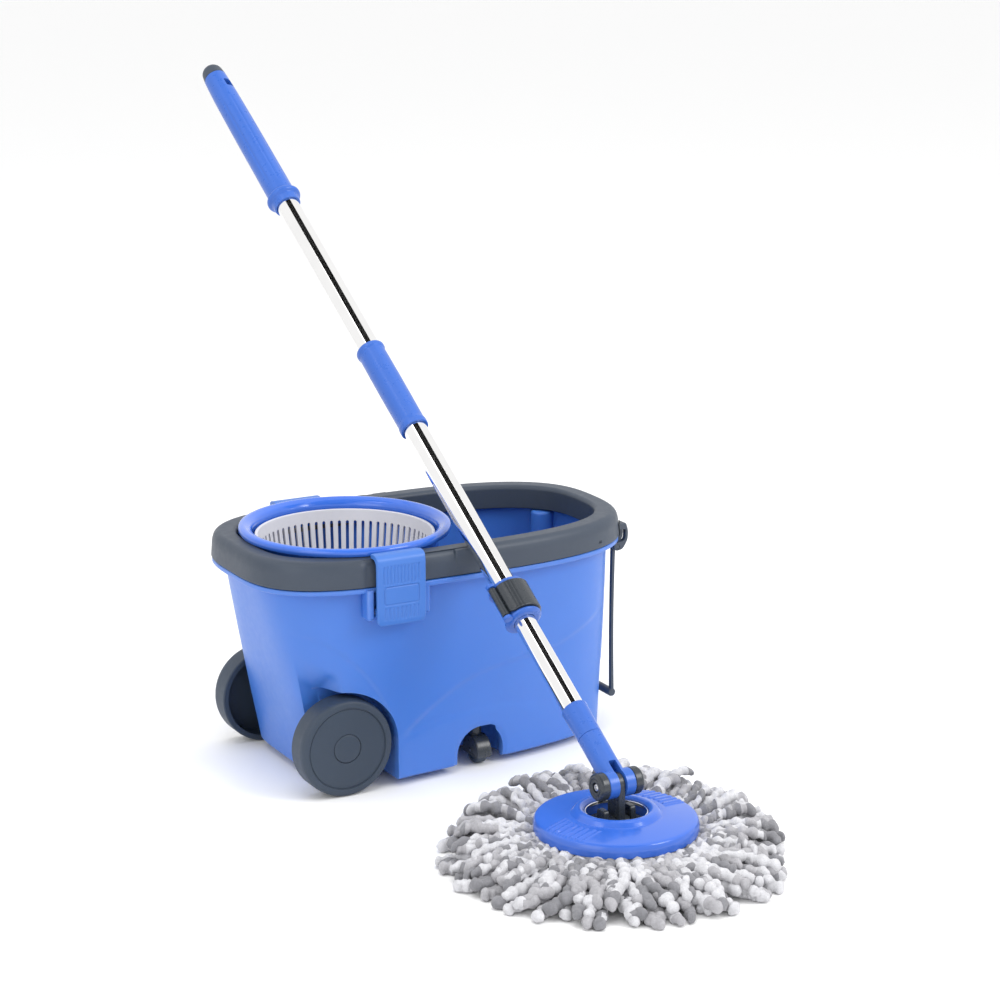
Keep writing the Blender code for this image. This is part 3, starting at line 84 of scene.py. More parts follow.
def soften(points, radius=0.001, loop=True, steps=5):
    """The outline with its corners rounded. A third number on a point is that corner's own radius."""
    rounded = []
    for i, point in enumerate(points):
        here = Vector(point[:2])
        if not loop and i in (0, len(points) - 1):
            rounded.append(here)
            continue
        to_last = Vector(points[i - 1][:2]) - here
        to_next = Vector(points[(i + 1) % len(points)][:2]) - here
        wanted = point[2] if len(point) > 2 else radius
        reach = min(wanted, to_last.length * 0.46, to_next.length * 0.46)
        if reach < 1e-6:
            rounded.append(here)
            continue
        start, end = here + to_last.normalized() * reach, here + to_next.normalized() * reach
        for k in range(steps + 1):
            t = k / steps
            rounded.append(start.lerp(here, t).lerp(here.lerp(end, t), t))
    return [(p.x, p.y) for p in rounded]


def skin(rows, around=True, loop=False):
    """Joins rows of points into a skin. Each row runs round, and the rows follow one another."""
    count = len(rows[0])
    points = [Vector(point) for row in rows for point in row]
    faces = []
    for i in range(len(rows) if loop else len(rows) - 1):
        j = (i + 1) % len(rows)
        for k in range(count if around else count - 1):
            m = (k + 1) % count
            faces.append((i * count + k, i * count + m, j * count + m, j * count + k))
    if around and not loop:
        faces.append(tuple(range(count))[::-1])
        faces.append(tuple(range((len(rows) - 1) * count, len(rows) * count)))
    return points, faces


def together(*shapes):
    points, faces = [], []
    for more_points, more_faces in shapes:
        start = len(points)
        points += more_points
        faces += [tuple(start + i for i in face) for face in more_faces]
    return points, faces


def moved(shape, matrix):
    return [matrix @ point for point in shape[0]], shape[1]


def turned(outline, steps=96, bend=None):
    """An outline of (radius, height) turned round Z. bend may move each point."""
    rows = []
    for i in range(steps):
        angle = 2 * math.pi * i / steps
        c, s = math.cos(angle), math.sin(angle)
        row = [Vector((r * c, r * s, z)) for r, z in outline]
        rows.append([bend(point, angle) for point in row] if bend else row)
    return skin(rows, loop=True)


def slab(outline, low, high, edge=0.0008, steps=3):
    """A flat outline between two heights, its long edges rounded."""
    count = len(outline)
    flat = [Vector(p) for p in outline]
    area = sum(flat[i].x * flat[(i + 1) % count].y - flat[(i + 1) % count].x * flat[i].y
               for i in range(count))
    turn = 1 if area > 0 else -1
    inward = []
    for i in range(count):
        run = (flat[(i + 1) % count] - flat[i - 1]).normalized()
        inward.append(Vector((-run.y, run.x)) * turn)
    rows = []
    for level, sign in ((low, 1), (high, -1)):
        part = []
        for k in range(steps + 1):
            angle = math.pi / 2 * k / steps
            drawn, up = edge * (1 - math.sin(angle)), edge * (1 - math.cos(angle))
            part.append([(p.x + n.x * drawn, p.y + n.y * drawn, level + sign * up)
                         for p, n in zip(flat, inward)])
        rows += part if sign > 0 else part[::-1]
    return skin(rows)


def brick(low, high, edge=0.0008, steps=3):
    """A block with all its edges rounded."""
    bm = bmesh.new()
    bmesh.ops.create_cube(bm, size=1.0)
    low, high = Vector(low), Vector(high)
    for vertex in bm.verts:
        vertex.co = Vector([low[i] + (high[i] - low[i]) * (vertex.co[i] + 0.5) for i in range(3)])
    if edge:
        bmesh.ops.bevel(bm, geom=bm.edges[:], offset=edge, segments=steps, profile=0.5, affect="EDGES",
                        clamp_overlap=True)
    bm.verts.index_update()
    shape = [v.co.copy() for v in bm.verts], [tuple(v.index for v in f.verts) for f in bm.faces]
    bm.free()
    return shape


def drum(radius, low, high, edge=0.0006, steps=64, bore=0.0):
    """A round bar along Z, or a ring if it has a bore, with softened rims."""
    outline = [(bore, low), (radius, low), (radius, high), (bore, high)]
    soft = [(r, z, edge if r > bore or bore else 0) for r, z in outline]
    return turned(soften(soft, edge), steps)


def flat_arc(radius, start, end, count, middle=(0, 0)):
    return [(middle[0] + radius * math.cos(start + (end - start) * i / (count - 1)),
             middle[1] + radius * math.sin(start + (end - start) * i / (count - 1))) for i in range(count)]


UPRIGHT = Matrix.Rotation(math.pi / 2, 4, "X")          # an outline in X and Z, thickness along -Y
SIDEWAYS = Matrix.Rotation(math.pi / 2, 4, "Y")         # Z turned onto X
END_ON = Matrix(((0, 0, 1, 0), (1, 0, 0, 0), (0, 1, 0, 0), (0, 0, 0, 1)))   # outline in Y and Z, along X


def mesh_of(name, shape):
    mesh = bpy.data.meshes.new(name)
    mesh.from_pydata([tuple(p) for p in shape[0]], [], shape[1])
    bm = bmesh.new()
    bm.from_mesh(mesh)
    bmesh.ops.remove_doubles(bm, verts=bm.verts, dist=1e-6)
    bmesh.ops.recalc_face_normals(bm, faces=bm.faces)
    bm.to_mesh(mesh)
    bm.free()
    return mesh


def carve(shape, *tools, way="DIFFERENCE"):
    """The shape with each tool cut away, or joined on."""
    for tool in tools:
        work, blade = (bpy.data.objects.new(n, mesh_of(n, s)) for n,
                       s in (("work", shape), ("blade", tool)))
        for obj in (work, blade):
            bpy.context.scene.collection.objects.link(obj)
        step = work.modifiers.new("carve", "BOOLEAN")
        step.operation, step.solver, step.object = way, "EXACT", blade
        done = work.evaluated_get(bpy.context.evaluated_depsgraph_get()).to_mesh()
        shape = [v.co.copy() for v in done.vertices], [tuple(f.vertices) for f in done.polygons]
        for obj in (work, blade):
            old = obj.data
            bpy.data.objects.remove(obj)
            bpy.data.meshes.remove(old)
    return shape


def show(name, shape, look, body, nodes, place=None, crease=34, bevel=0.0, weigh=True):
    """Makes one finished piece that rides on a body and stands for CAD nodes."""
    mesh = mesh_of(name, moved(shape, place) if place else shape)
    mesh.materials.append(look)
    obj = bpy.data.objects.new(name, mesh)
    bpy.context.scene.collection.objects.link(obj)
    mesh.shade_smooth()
    if bevel:
        edge = obj.modifiers.new("soft edges", "BEVEL")
        edge.width, edge.segments, edge.limit_method = bevel, 2, "ANGLE"
        edge.angle_limit = math.radians(crease)
        edge.miter_outer = "MITER_ARC"
    else:
        mesh.set_sharp_from_angle(angle=math.radians(crease))
    if weigh:
        obj.modifiers.new("even shading", "WEIGHTED_NORMAL").keep_sharp = True
    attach(obj, body)
    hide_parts(*nodes)
    return obj


# ---------------------------------------------------------------- finishes
def group_of(name, **given):
    """A shader group giving Colour, Roughness and Normal, with one input for each value given."""
    group = bpy.data.node_groups.new(name, "ShaderNodeTree")
    for label, value in given.items():
        kind = "NodeSocketColor" if isinstance(value, tuple) else "NodeSocketFloat"
        group.interface.new_socket(label.replace("_", " "), in_out="INPUT",
                                   socket_type=kind).default_value = value
    for label, kind in (("Colour", "Color"), ("Roughness", "Float"), ("Normal", "Vector")):
        group.interface.new_socket(label, in_out="OUTPUT", socket_type="NodeSocket" + kind)
    where = node(group, "ShaderNodeTexCoord").outputs["Object"]
    return group, node(group, "NodeGroupInput").outputs, node(group, "NodeGroupOutput").inputs, where


def node(tree, kind, **settings):
    made = tree.nodes.new(kind)
    for key, value in settings.items():
        if key in made.inputs:
            made.inputs[key].default_value = value
        else:
            setattr(made, key, value)
    return made


def wire(tree, *pairs):
    for start, end in pairs:
        tree.links.new(start, end)


def noise_of(tree, where, scale, detail=3.0, roughness=0.5, stretch=None):
    spot = where
    if stretch:
        mapping = node(tree, "ShaderNodeMapping")
        mapping.inputs["Scale"].default_value = stretch
        wire(tree, (where, mapping.inputs["Vector"]))
        spot = mapping.outputs["Vector"]
    cloud = node(tree, "ShaderNodeTexNoise", Detail=detail, Roughness=roughness)
    if isinstance(scale, (int, float)):
        cloud.inputs["Scale"].default_value = scale
    else:
        wire(tree, (scale, cloud.inputs["Scale"]))
    wire(tree, (spot, cloud.inputs["Vector"]))
    return cloud.outputs["Fac"]


def spread(tree, value, low, high, to_low, to_high):
    made = node(tree, "ShaderNodeMapRange")
    for label, number in (("From Min", low), ("From Max", high), ("To Min", to_low), ("To Max", to_high)):
        if isinstance(number, (int, float)):
            made.inputs[label].default_value = number
        else:
            wire(tree, (number, made.inputs[label]))
    wire(tree, (value, made.inputs["Value"]))
    return made.outputs["Result"]


def sum_of(tree, operation, *terms):
    """A maths node fed with other nodes' outputs or plain numbers."""
    made = node(tree, "ShaderNodeMath", operation=operation)
    for socket, term in zip(made.inputs, terms):
        if isinstance(term, (int, float)):
            socket.default_value = term
        else:
            wire(tree, (term, socket))
    return made.outputs[0]


def scaled(tree, colour, factor):
    made = node(tree, "ShaderNodeVectorMath", operation="SCALE")
    wire(tree, (colour, made.inputs[0]), (factor, made.inputs["Scale"]))
    return made.outputs[0]


def bumped(tree, height, distance, strength):
    made = node(tree, "ShaderNodeBump", Distance=distance)
    if isinstance(strength, float):
        made.inputs["Strength"].default_value = strength
    else:
        wire(tree, (strength, made.inputs["Strength"]))
    wire(tree, (height, made.inputs["Height"]))
    return made.outputs["Normal"]


def moulding_group():
    """Moulded plastic: faint clouding in the colour, fine grain, and lighter rubbed edges."""
    group, given, out, where = group_of("moulded_plastic", Colour=(0.5, 0.5, 0.5, 1), Clouding=0.06,
                                        Roughness=0.35, Grain_Size=1400.0, Grain_Depth=0.15, Edge_Wear=0.1)
    both = sum_of(group, "ADD", noise_of(group, where, 22.0, 4.0, 0.6),
                  noise_of(group, where, 9.0, 2.0, 0.5, (1.0, 1.0, 0.35)))
    share = sum_of(group, "MULTIPLY_ADD", spread(group, both, 0.6, 1.4, -1.0, 1.0), given["Clouding"], 1.0)
    shaded = scaled(group, given["Colour"], share)
    edge = spread(group, node(group, "ShaderNodeNewGeometry").outputs["Pointiness"], 0.52, 0.6, 0.0, 1.0)
    rub = sum_of(group, "MULTIPLY", edge, given["Edge Wear"])
    mix = node(group, "ShaderNodeMix", data_type="RGBA")
    mix.inputs[7].default_value = (0.85, 0.88, 0.92, 1)
    wire(group, (sum_of(group, "MULTIPLY", rub, noise_of(group, where, 60.0)), mix.inputs[0]),
         (shaded, mix.inputs[6]), (mix.outputs[2], out["Colour"]))
    scuff = spread(group, noise_of(group, where, 130.0, 5.0, 0.65), 0.3, 0.7, -0.05, 0.05)
    grain = noise_of(group, where, given["Grain Size"], 2.0, 0.6)
    wire(group, (sum_of(group, "ADD", scuff, given["Roughness"]), out["Roughness"]),
         (bumped(group, grain, 0.00012, given["Grain Depth"]), out["Normal"]))
    return group


def metal_group():
    """Drawn metal: fine marks drawn out along Y and Z of the piece's own frame, and soft smears."""
    group, given, out, where = group_of("drawn_metal", Colour=(0.9, 0.9, 0.9, 1), Roughness=0.08,
                                        Marks=0.03, Smears=0.04)
    marks = noise_of(group, where, 900.0, 2.0, 0.5, (1.0, 0.06, 0.06))
    smears = noise_of(group, where, 28.0, 4.0, 0.6)
    worn = sum_of(group, "MULTIPLY_ADD", spread(group, smears, 0.35, 0.7, 0.0, 1.0), given["Smears"],
                  given["Roughness"])
    wire(group, (sum_of(group, "MULTIPLY_ADD", marks, given["Marks"], worn), out["Roughness"]),
         (scaled(group, given["Colour"], spread(group, smears, 0.3, 0.7, 1.0, 0.95)), out["Colour"]),
         (bumped(group, marks, 0.00004, 0.08), out["Normal"]))
    return group


def yarn_group():
    """Microfibre chenille: short fuzzy fibres, with painted shade darkening the hollows between the tufts."""
    group, given, out, where = group_of("chenille_fuzz", Colour=(0.7, 0.7, 0.72, 1), Shadow=0.45,
                                        Fuzz_Size=900.0)
    fuzz = noise_of(group, where, given["Fuzz Size"], 4.0, 0.7)
    tuft = noise_of(group, where, 150.0, 3.0, 0.6)
    # painted shade: hollows between the tufts (low pointiness) are darkened in the colour by the Shadow share
    tuft_gap_shade = spread(group, node(group, "ShaderNodeNewGeometry").outputs["Pointiness"], 0.4, 0.52, 1.0, 0.0)
    light = sum_of(group, "SUBTRACT", 1.0, sum_of(group, "MULTIPLY", tuft_gap_shade, given["Shadow"]))
    speck = sum_of(group, "MULTIPLY", light, spread(group, fuzz, 0.3, 0.7, 0.86, 1.1))
    tone = sum_of(group, "MULTIPLY", speck, spread(group, tuft, 0.3, 0.7, 0.82, 1.08))
    wire(group, (scaled(group, given["Colour"], tone), out["Colour"]),
         (spread(group, fuzz, 0.2, 0.8, 0.85, 1.0), out["Roughness"]),
         (bumped(group, fuzz, 0.0011, 0.9), out["Normal"]))
    return group


MOULDED, DRAWN, CHENILLE = moulding_group(), metal_group(), yarn_group()


def finish_of(name, group, values, **shader):
    look = bpy.data.materials.new(name)
    look.use_nodes = True
    tree = look.node_tree
    surface = tree.nodes["Principled BSDF"]
    effect = node(tree, "ShaderNodeGroup")
    effect.node_tree = group
    for label, value in values.items():
        effect.inputs[label].default_value = value
    for label, value in shader.items():
        surface.inputs[label.replace("_", " ")].default_value = value
    wire(tree, (effect.outputs["Colour"], surface.inputs["Base Color"]),
         (effect.outputs["Roughness"], surface.inputs["Roughness"]),
         (effect.outputs["Normal"], surface.inputs["Normal"]))
    return look


def plastic(name, colour, rough, clouding=0.035, depth=0.1, grain=1400.0, wear=0.1, **shader):
    return finish_of(name, MOULDED, {"Colour": (*colour, 1), "Clouding": clouding, "Roughness": rough,
                                     "Grain Size": grain, "Grain Depth": depth, "Edge Wear": wear},
                     **shader)


def metal(name, colour, rough, marks=0.03, smears=0.04):
    return finish_of(name, DRAWN, {"Colour": (*colour, 1), "Roughness": rough, "Marks": marks,
                                   "Smears": smears}, Metallic=1.0)


def yarn(name, colour, shadow=0.45):
    return finish_of(name, CHENILLE, {"Colour": (*colour, 1), "Shadow": shadow}, Sheen_Weight=0.25,
                     Specular_IOR_Level=0.15)


BODY_BLUE = plastic("body_blue", (0.05, 0.168, 0.575), 0.36, clouding=0.025, depth=0.12,
                    Subsurface_Weight=0.1, Subsurface_Scale=0.004)
RING_BLUE = plastic("ring_blue", (0.036, 0.14, 0.62), 0.16, clouding=0.02, depth=0.04, Coat_Weight=0.35)
CLIP_BLUE = plastic("clip_blue", (0.044, 0.158, 0.52), 0.4, depth=0.15, wear=0.03)
PLATE_BLUE = plastic("plate_blue", (0.034, 0.125, 0.56), 0.2, clouding=0.02, depth=0.04, Coat_Weight=0.25)
GRIP_BLUE = plastic("grip_blue", (0.03, 0.118, 0.48), 0.3, depth=0.03, wear=0.0)
SLATE = plastic("rim_slate", (0.037, 0.051, 0.076), 0.46, clouding=0.05, depth=0.3, wear=0.04)
WHEEL_SLATE = plastic("wheel_slate", (0.029, 0.045, 0.072), 0.52, clouding=0.05, depth=0.35, wear=0.0)
BLACK = plastic("fork_black", (0.028, 0.034, 0.042), 0.28, clouding=0.05, depth=0.12, wear=0.05)
BASKET_GREY = plastic("basket_grey", (0.6, 0.6, 0.64), 0.42, clouding=0.03, depth=0.2)
BEARING = plastic("bearing_white", (0.72, 0.72, 0.7), 0.4)
CHROME = metal("tube_chrome", (0.93, 0.925, 0.92), 0.045, marks=0.02, smears=0.02)
STEEL = metal("pin_steel", (0.62, 0.63, 0.65), 0.24, marks=0.1)
WHITE_YARN = yarn("yarn_white", (0.66, 0.66, 0.69))
PALE_YARN = yarn("yarn_pale", (0.44, 0.435, 0.46))
GREY_YARN = yarn("yarn_grey", (0.25, 0.25, 0.27))


# ---------------------------------------------------------------- outlines of the bucket
ROUND = 560      # points round the bucket's ovals


def even(points, count):
    """The closed outline as points at equal steps along it."""
    ring = np.array(points + points[:1])
    run = np.concatenate([[0], np.cumsum(np.linalg.norm(np.diff(ring, axis=0), axis=1))])
    marks = np.linspace(0, run[-1], count, endpoint=False)
    return list(zip(np.interp(marks, run, ring[:, 0]).tolist(), np.interp(marks, run, ring[:, 1]).tolist()))


def oval(centre, half_length, half_width, taper=0.0, blunt_left=3.4, blunt_right=2.8):
    """A squared oval, narrower towards +X by the taper."""
    points = []
    for i in range(2400):
        angle = 2 * math.pi * i / 2400
        c, s = math.cos(angle), math.sin(angle)
        blunt = blunt_right if c > 0 else blunt_left
        u = math.copysign(abs(c) ** (2 / blunt), c)
        v = math.copysign(abs(s) ** (2 / blunt), s)
        points.append((centre + half_length * u, half_width * v * (1 - taper * u)))
    return even(points, ROUND)


def rim_oval(inset):
    return oval(RIM_MIDDLE, HALF_LENGTH - inset, HALF_WIDTH - inset)


BODY_FOOT, LIP_UNDER = 0.008, 0.2151
BODY_WALL = 0.003


def body_oval(height, inset):
    share = clamp((height - BODY_FOOT) / (LIP_UNDER - BODY_FOOT))
    left = RIM_MIDDLE - HALF_LENGTH + 0.013 + 0.047 * (1 - share)
    right = RIM_MIDDLE + HALF_LENGTH - 0.013 - 0.013 * (1 - share)
    half = 0.1056 + (HALF_WIDTH - 0.013 - 0.1056) * share
    return oval((left + right) / 2, (right - left) / 2 - inset, half - inset, 0.16 * (1 - share),
                5.0 - 1.6 * share, 4.0 - 1.2 * share)


def at(height, outline):
    return [(x, y, height) for x, y in outline]


def flowing(points, x):
    """The height of a smooth line through the points, at an X."""
    xs = [p[0] for p in points]
    if x <= xs[0]:
        return points[0][1]
    if x >= xs[-1]:
        return points[-1][1]
    i = max(k for k in range(len(xs) - 1) if xs[k] <= x)
    p0, p1 = points[max(i - 1, 0)], points[i]
    p2, p3 = points[i + 1], points[min(i + 2, len(points) - 1)]
    t = (x - p1[0]) / (p2[0] - p1[0])
    run = p2[0] - p1[0]
    slope1 = (p2[1] - p0[1]) / max(p2[0] - p0[0], 1e-9) * run
    slope2 = (p3[1] - p1[1]) / max(p3[0] - p1[0], 1e-9) * run
    return ((2 * t**3 - 3 * t**2 + 1) * p1[1] + (t**3 - 2 * t**2 + t) * slope1
            + (3 * t**2 - 2 * t**3) * p2[1] + (t**3 - t**2) * slope2)


# ---------------------------------------------------------------- bucket body
WHEEL = tuple((Vector(JOINTS["big_wheel_front_roll"]["pos_m"]) - BUCKET).xz)
CASTER_X, CASTER_Y = 0.0195, 0.078
ARCH_X, ARCH_R = CASTER_X - 0.0065, 0.0285
FENDER_TOP = [(-0.215, 0.1785), (-0.2043, 0.1755), (-0.1659, 0.1629), (-0.1378, 0.1417), (-0.1095, 0.1067),
              (-0.0918, 0.066), (-0.087, 0.04)]
FENDER_FOOT = [(-0.215, 0.146), (-0.2016, 0.14), (-0.1738, 0.1204), (-0.1597, 0.1114), (-0.14, 0.106)]
SWEEP_TOP = [(-0.0883, 0.0516), (-0.0438, 0.0822), (-0.0027, 0.1033), (0.054, 0.1153), (0.0962, 0.1193),
             (0.1428, 0.1333), (0.19, 0.153)]
SWEEP_FOOT = [(-0.0883, 0.0447), (-0.0587, 0.0587), (-0.0215, 0.0646), (0.0351, 0.0658), (0.1005, 0.0568)]


def side_relief(x, z):
    """How far the body's long side is set in, from the moulded lines on it."""
    depth = 0.0
    if x < -0.085:
        fade = ease((-0.085 - x) / 0.012)
        depth += 0.0016 * fade * ease((flowing(FENDER_TOP, x) - z) / 0.0055 + 0.5)
        depth += 0.0012 * ease((-0.14 - x) / 0.02) * ease((flowing(FENDER_FOOT, x) - z) / 0.005 + 0.5)
    if x > -0.088:
        fade = ease((x + 0.088) / 0.02)
        below = flowing(SWEEP_TOP, x) - z
        depth += fade * (0.0017 * ease(below / 0.0046 + 0.5) + 0.001 * clamp(below / 0.06))
        depth -= 0.001 * fade * ease((0.115 - x) / 0.05) * ease((flowing(SWEEP_FOOT,
                                                                          x) - z) / 0.0045 + 0.5)
    reach = math.hypot(x - ARCH_X, max(z - 0.0185, 0))
    depth += 0.0016 * ease((ARCH_R + 0.0045 - reach) / 0.003)
    return depth


def well_tool(grown):
    radius, inner = 0.0573 + grown, 0.072 - grown
    arch = [(WHEEL[0] + radius, -0.05)] + flat_arc(radius, 0, math.pi / 2, 40, WHEEL)
    arch += [(-0.26, WHEEL[1] + radius), (-0.26, -0.05)]
    cheek = slab(arch, inner, 0.16, 0.0001, 1)
    front = moved(cheek, UPRIGHT)
    return together(front, moved(front, Matrix.Scale(-1, 4, (0, 1, 0))))


def caster_tool(grown):
    pocket = moved(drum(0.029 + grown, -0.05, 0.047 + grown, 0.004, 72),
                   Matrix.Translation((CASTER_X - 0.0035, -CASTER_Y, 0)))
    radius = ARCH_R + grown
    arch = [(ARCH_X + radius, -0.05)] + flat_arc(radius, 0, math.pi, 48, (ARCH_X, 0.0185))
    arch += [(ARCH_X - radius, -0.05)]
    gate = moved(slab(arch, CASTER_Y - 0.006, 0.16, 0.0001, 1), UPRIGHT)
    front = carve(pocket, gate, way="UNION")
    return together(front, moved(front, Matrix.Scale(-1, 4, (0, 1, 0))))


def step_tool(grown):
    face = RIM_MIDDLE + HALF_LENGTH - 0.013 - 0.0065 - 0.0165 - grown
    outline = [(face, -0.05, 0), (face, 0.083 + grown, 0.01), (face + 0.012, 0.095 + grown, 0.01),
               (0.26, 0.101 + grown, 0), (0.26, -0.05, 0)]
    return moved(slab(soften(outline), -0.076 - grown, 0.076 + grown, 0.006, 5), UPRIGHT)


def flank(x, y, z, weight, wall=0.0):
    """A point of the long side, set in by the relief and drawn in to the cheek behind each big wheel."""
    size = abs(y) - (side_relief(x, z) if not wall else 0.0) * weight
    if x < -0.14 and size > 0.0712 - wall:
        share = ease((flowing(FENDER_FOOT, x) + 0.022 - z) / 0.032) * ease((-0.146 - x) / 0.012)
        size += (0.0712 - wall - size) * share
    return x, math.copysign(size, y), z


def bucket_shell():
    levels = [(0.008, 0.004), (0.0083, 0.0022), (0.009, 0.0009), (0.0104, 0.0001)]
    levels += [(0.012 + 0.2026 * i / 70, 0) for i in range(71)]
    rows = []
    for height, inset in levels:
        row = []
        for x, y in body_oval(height, inset):
            row.append(flank(x, y, height, ease((abs(y) - 0.06) / 0.028)))
        rows.append(row)
    lip = [(0.015, 0.2149), (0.003, 0.215), (0.0016, 0.2153), (0.0009, 0.2162), (0.0008, 0.2194),
           (0.0013, 0.2202), (0.0024, 0.2206), (0.013, 0.2208), (0.013, 0.2444), (0.0136, 0.245)]
    rows += [at(height, rim_oval(inset)) for inset, height in lip[1:]]
    outer = skin(rows)
    lean = Matrix.Translation((RING_X, 0, 0)) @ UPRIGHT
    back = soften([(-0.0335, 0.2185, 0), (-0.0335, 0.186, 0.007), (0.0335, 0.186, 0.007),
                   (0.0335, 0.2185, 0)],
                  steps=8)
    ears = moved(slab(back, 0.108, 0.115, 0.001), lean)
    for end in (-1, 1):
        ear = soften([(end * 0.0276, 0.219, 0), (end * 0.0276, 0.1868, 0.002),
                      (end * 0.0352, 0.1868, 0.01),
                      (end * 0.0352, 0.219, 0)], steps=8)
        ears = carve(ears, moved(slab(ear, 0.11, 0.1252, 0.0024), lean), way="UNION")
    both = together(ears, moved(ears, Matrix.Scale(-1, 4, (0, 1, 0))))
    outer = carve(outer, both, way="UNION")

    inner = [(0.011, 0.0052), (0.0113, 0.003), (0.0122, 0.0012), (0.014, 0.0)]
    inner += [(0.02 + 0.2006 * i / 40, 0) for i in range(41)]
    rows = [[flank(x, y, height, 1, BODY_WALL) for x, y in body_oval(height, BODY_WALL + inset)]
            for height, inset in inner]
    rows += [at(height, rim_oval(0.016)) for height in (0.2235, 0.265)]
    hollow = carve(skin(rows), well_tool(BODY_WALL), caster_tool(BODY_WALL), step_tool(BODY_WALL))
    post = turned(soften([(0.0, 0.004, 0), (0.026, 0.004, 0), (0.026, 0.0108, 0), (0.024, 0.0125, 0.003),
                          (0.015, 0.1195, 0.001), (0.0, 0.1195, 0)]), 64)
    hollow = carve(hollow, moved(post, Matrix.Translation((RING_X, 0, 0))))
    for sign in (-1, 1):
        boss = drum(0.0085, 0.04, 0.063, 0.001, 40)
        hollow = carve(hollow, moved(boss, Matrix.Translation((CASTER_X, sign * CASTER_Y, 0))))
        hump_shape = turned(soften([(0, 0.15, 0), (0.0125, 0.15, 0.01), (0.0125, 0.2215, 0.004),
                                    (0, 0.2215, 0)],
                                   steps=8), 48)
        hollow = carve(hollow, moved(hump_shape, Matrix.Translation((0.18, sign * 0.062, 0))))
    body = carve(outer, together(hollow, well_tool(0), caster_tool(0), step_tool(0)))
    hubs = []
    for sign in (-1, 1):
        hub = drum(0.01, 0.0715, 0.084, 0.0008, 48, bore=0.0043)
        hubs.append(moved(hub, Matrix.Translation((WHEEL[0], 0, WHEEL[1])) @
                          Matrix.Rotation(-sign * math.pi / 2, 4, "X")))
    body = carve(body, together(*hubs), way="UNION")
    show("bucket_shell", body, BODY_BLUE, "bucket", ["bucket_body"], SET, crease=38)


# ---------------------------------------------------------------- rim
REST_X = -0.0042


def rim_recess(x, y):
    """Share of the set-in at the clip and between the clip and the notch, on both long sides."""
    if abs(y) < 0.085:
        return 0.0
    clip = ease((x - (RING_X - 0.037)) / 0.0022) * ease((RING_X + 0.027 - x) / 0.0022)
    saddle = ease((x - (RING_X + 0.0262)) / 0.0022) * ease((0.02 - x) / 0.004)
    return max(0.42 * clip, saddle)


def rim_channel():
    section = [(0.0072, 0.249, 0.004), (0.003, 0.2452, 0.004), (0.0012, 0.239, 0.005),
               (0.0, 0.2213, 0.0012),
               (0.0026, 0.2213, 0.001), (0.0042, 0.2395, 0.002), (0.0075, 0.246, 0.002),
               (0.0201, 0.246, 0.001),
               (0.0225, 0.2435, 0.001), (0.0226, 0.223, 0.0012), (0.0256, 0.223, 0.0012),
               (0.0256, 0.246, 0.003), (0.0228, 0.249, 0.003)]
    rows = []
    for inset, height in soften(section, steps=5):
        flat, sunk = rim_oval(inset), rim_oval(inset + 0.0026)
        on_face = inset < 0.0078 and height > 0.2205
        row = []
        for (x, y), (sx, sy) in zip(flat, sunk):
            share = rim_recess(x, y) if on_face else 0.0
            row.append((x + (sx - x) * share, y + (sy - y) * share, height))
        rows.append(row)
    band = skin(rows, loop=True)
    saddles, grooves = [], []
    for sign in (-1, 1):
        block = brick((REST_X - 0.022, 0.1165, 0.2273), (REST_X + 0.022, 0.124, 0.2482), 0.0015)
        saddles.append(moved(block, Matrix.Scale(sign, 4, (0, 1, 0))))
        start = PIVOT - BUCKET
        start.y *= -sign
        way = Vector((ALONG.x, -sign * ALONG.y, ALONG.z))
        lie = Matrix.Translation(start) @ way.to_track_quat("Z", "Y").to_matrix().to_4x4()
        grooves.append(moved(drum(0.01305, 0.2, 0.5, 0.0, 72), lie))
    slit = brick((0.16, -0.011, 0.2262), (0.2, 0.011, 0.2292), 0.0008)
    for sign in (-1, 1):
        grooves.append(moved(slit,
                             Matrix.Translation((0, sign * 0.062, 0)) @ Matrix.Rotation(sign * 0.32, 4,
                                                                                        "Z")))
    band = carve(band, together(*saddles), way="UNION")
    band = carve(band, together(*grooves))
    show("rim_channel", band, SLATE, "bucket", ["rim_band"], SET, crease=40)


# ---------------------------------------------------------------- basket end
def splash_ring():
    r, z = 0.1112, 0.2493
    outline = [(r - 0.006, z + 0.0085, 0.004), (r - 0.0012, z + 0.0072, 0.003), (r, z + 0.0037, 0.003),
               (r - 0.0012, z, 0.001), (0.0977, z, 0.0006), (0.0977, z - 0.0195, 0.0006),
               (0.0957, z - 0.0195, 0.0006), (0.0961, z + 0.0012, 0.003), (0.0984, z + 0.0052, 0.004)]
    show("splash_ring_gloss", turned(soften(outline, steps=7), 200), RING_BLUE, "bucket", ["splash_ring"],
         RING)


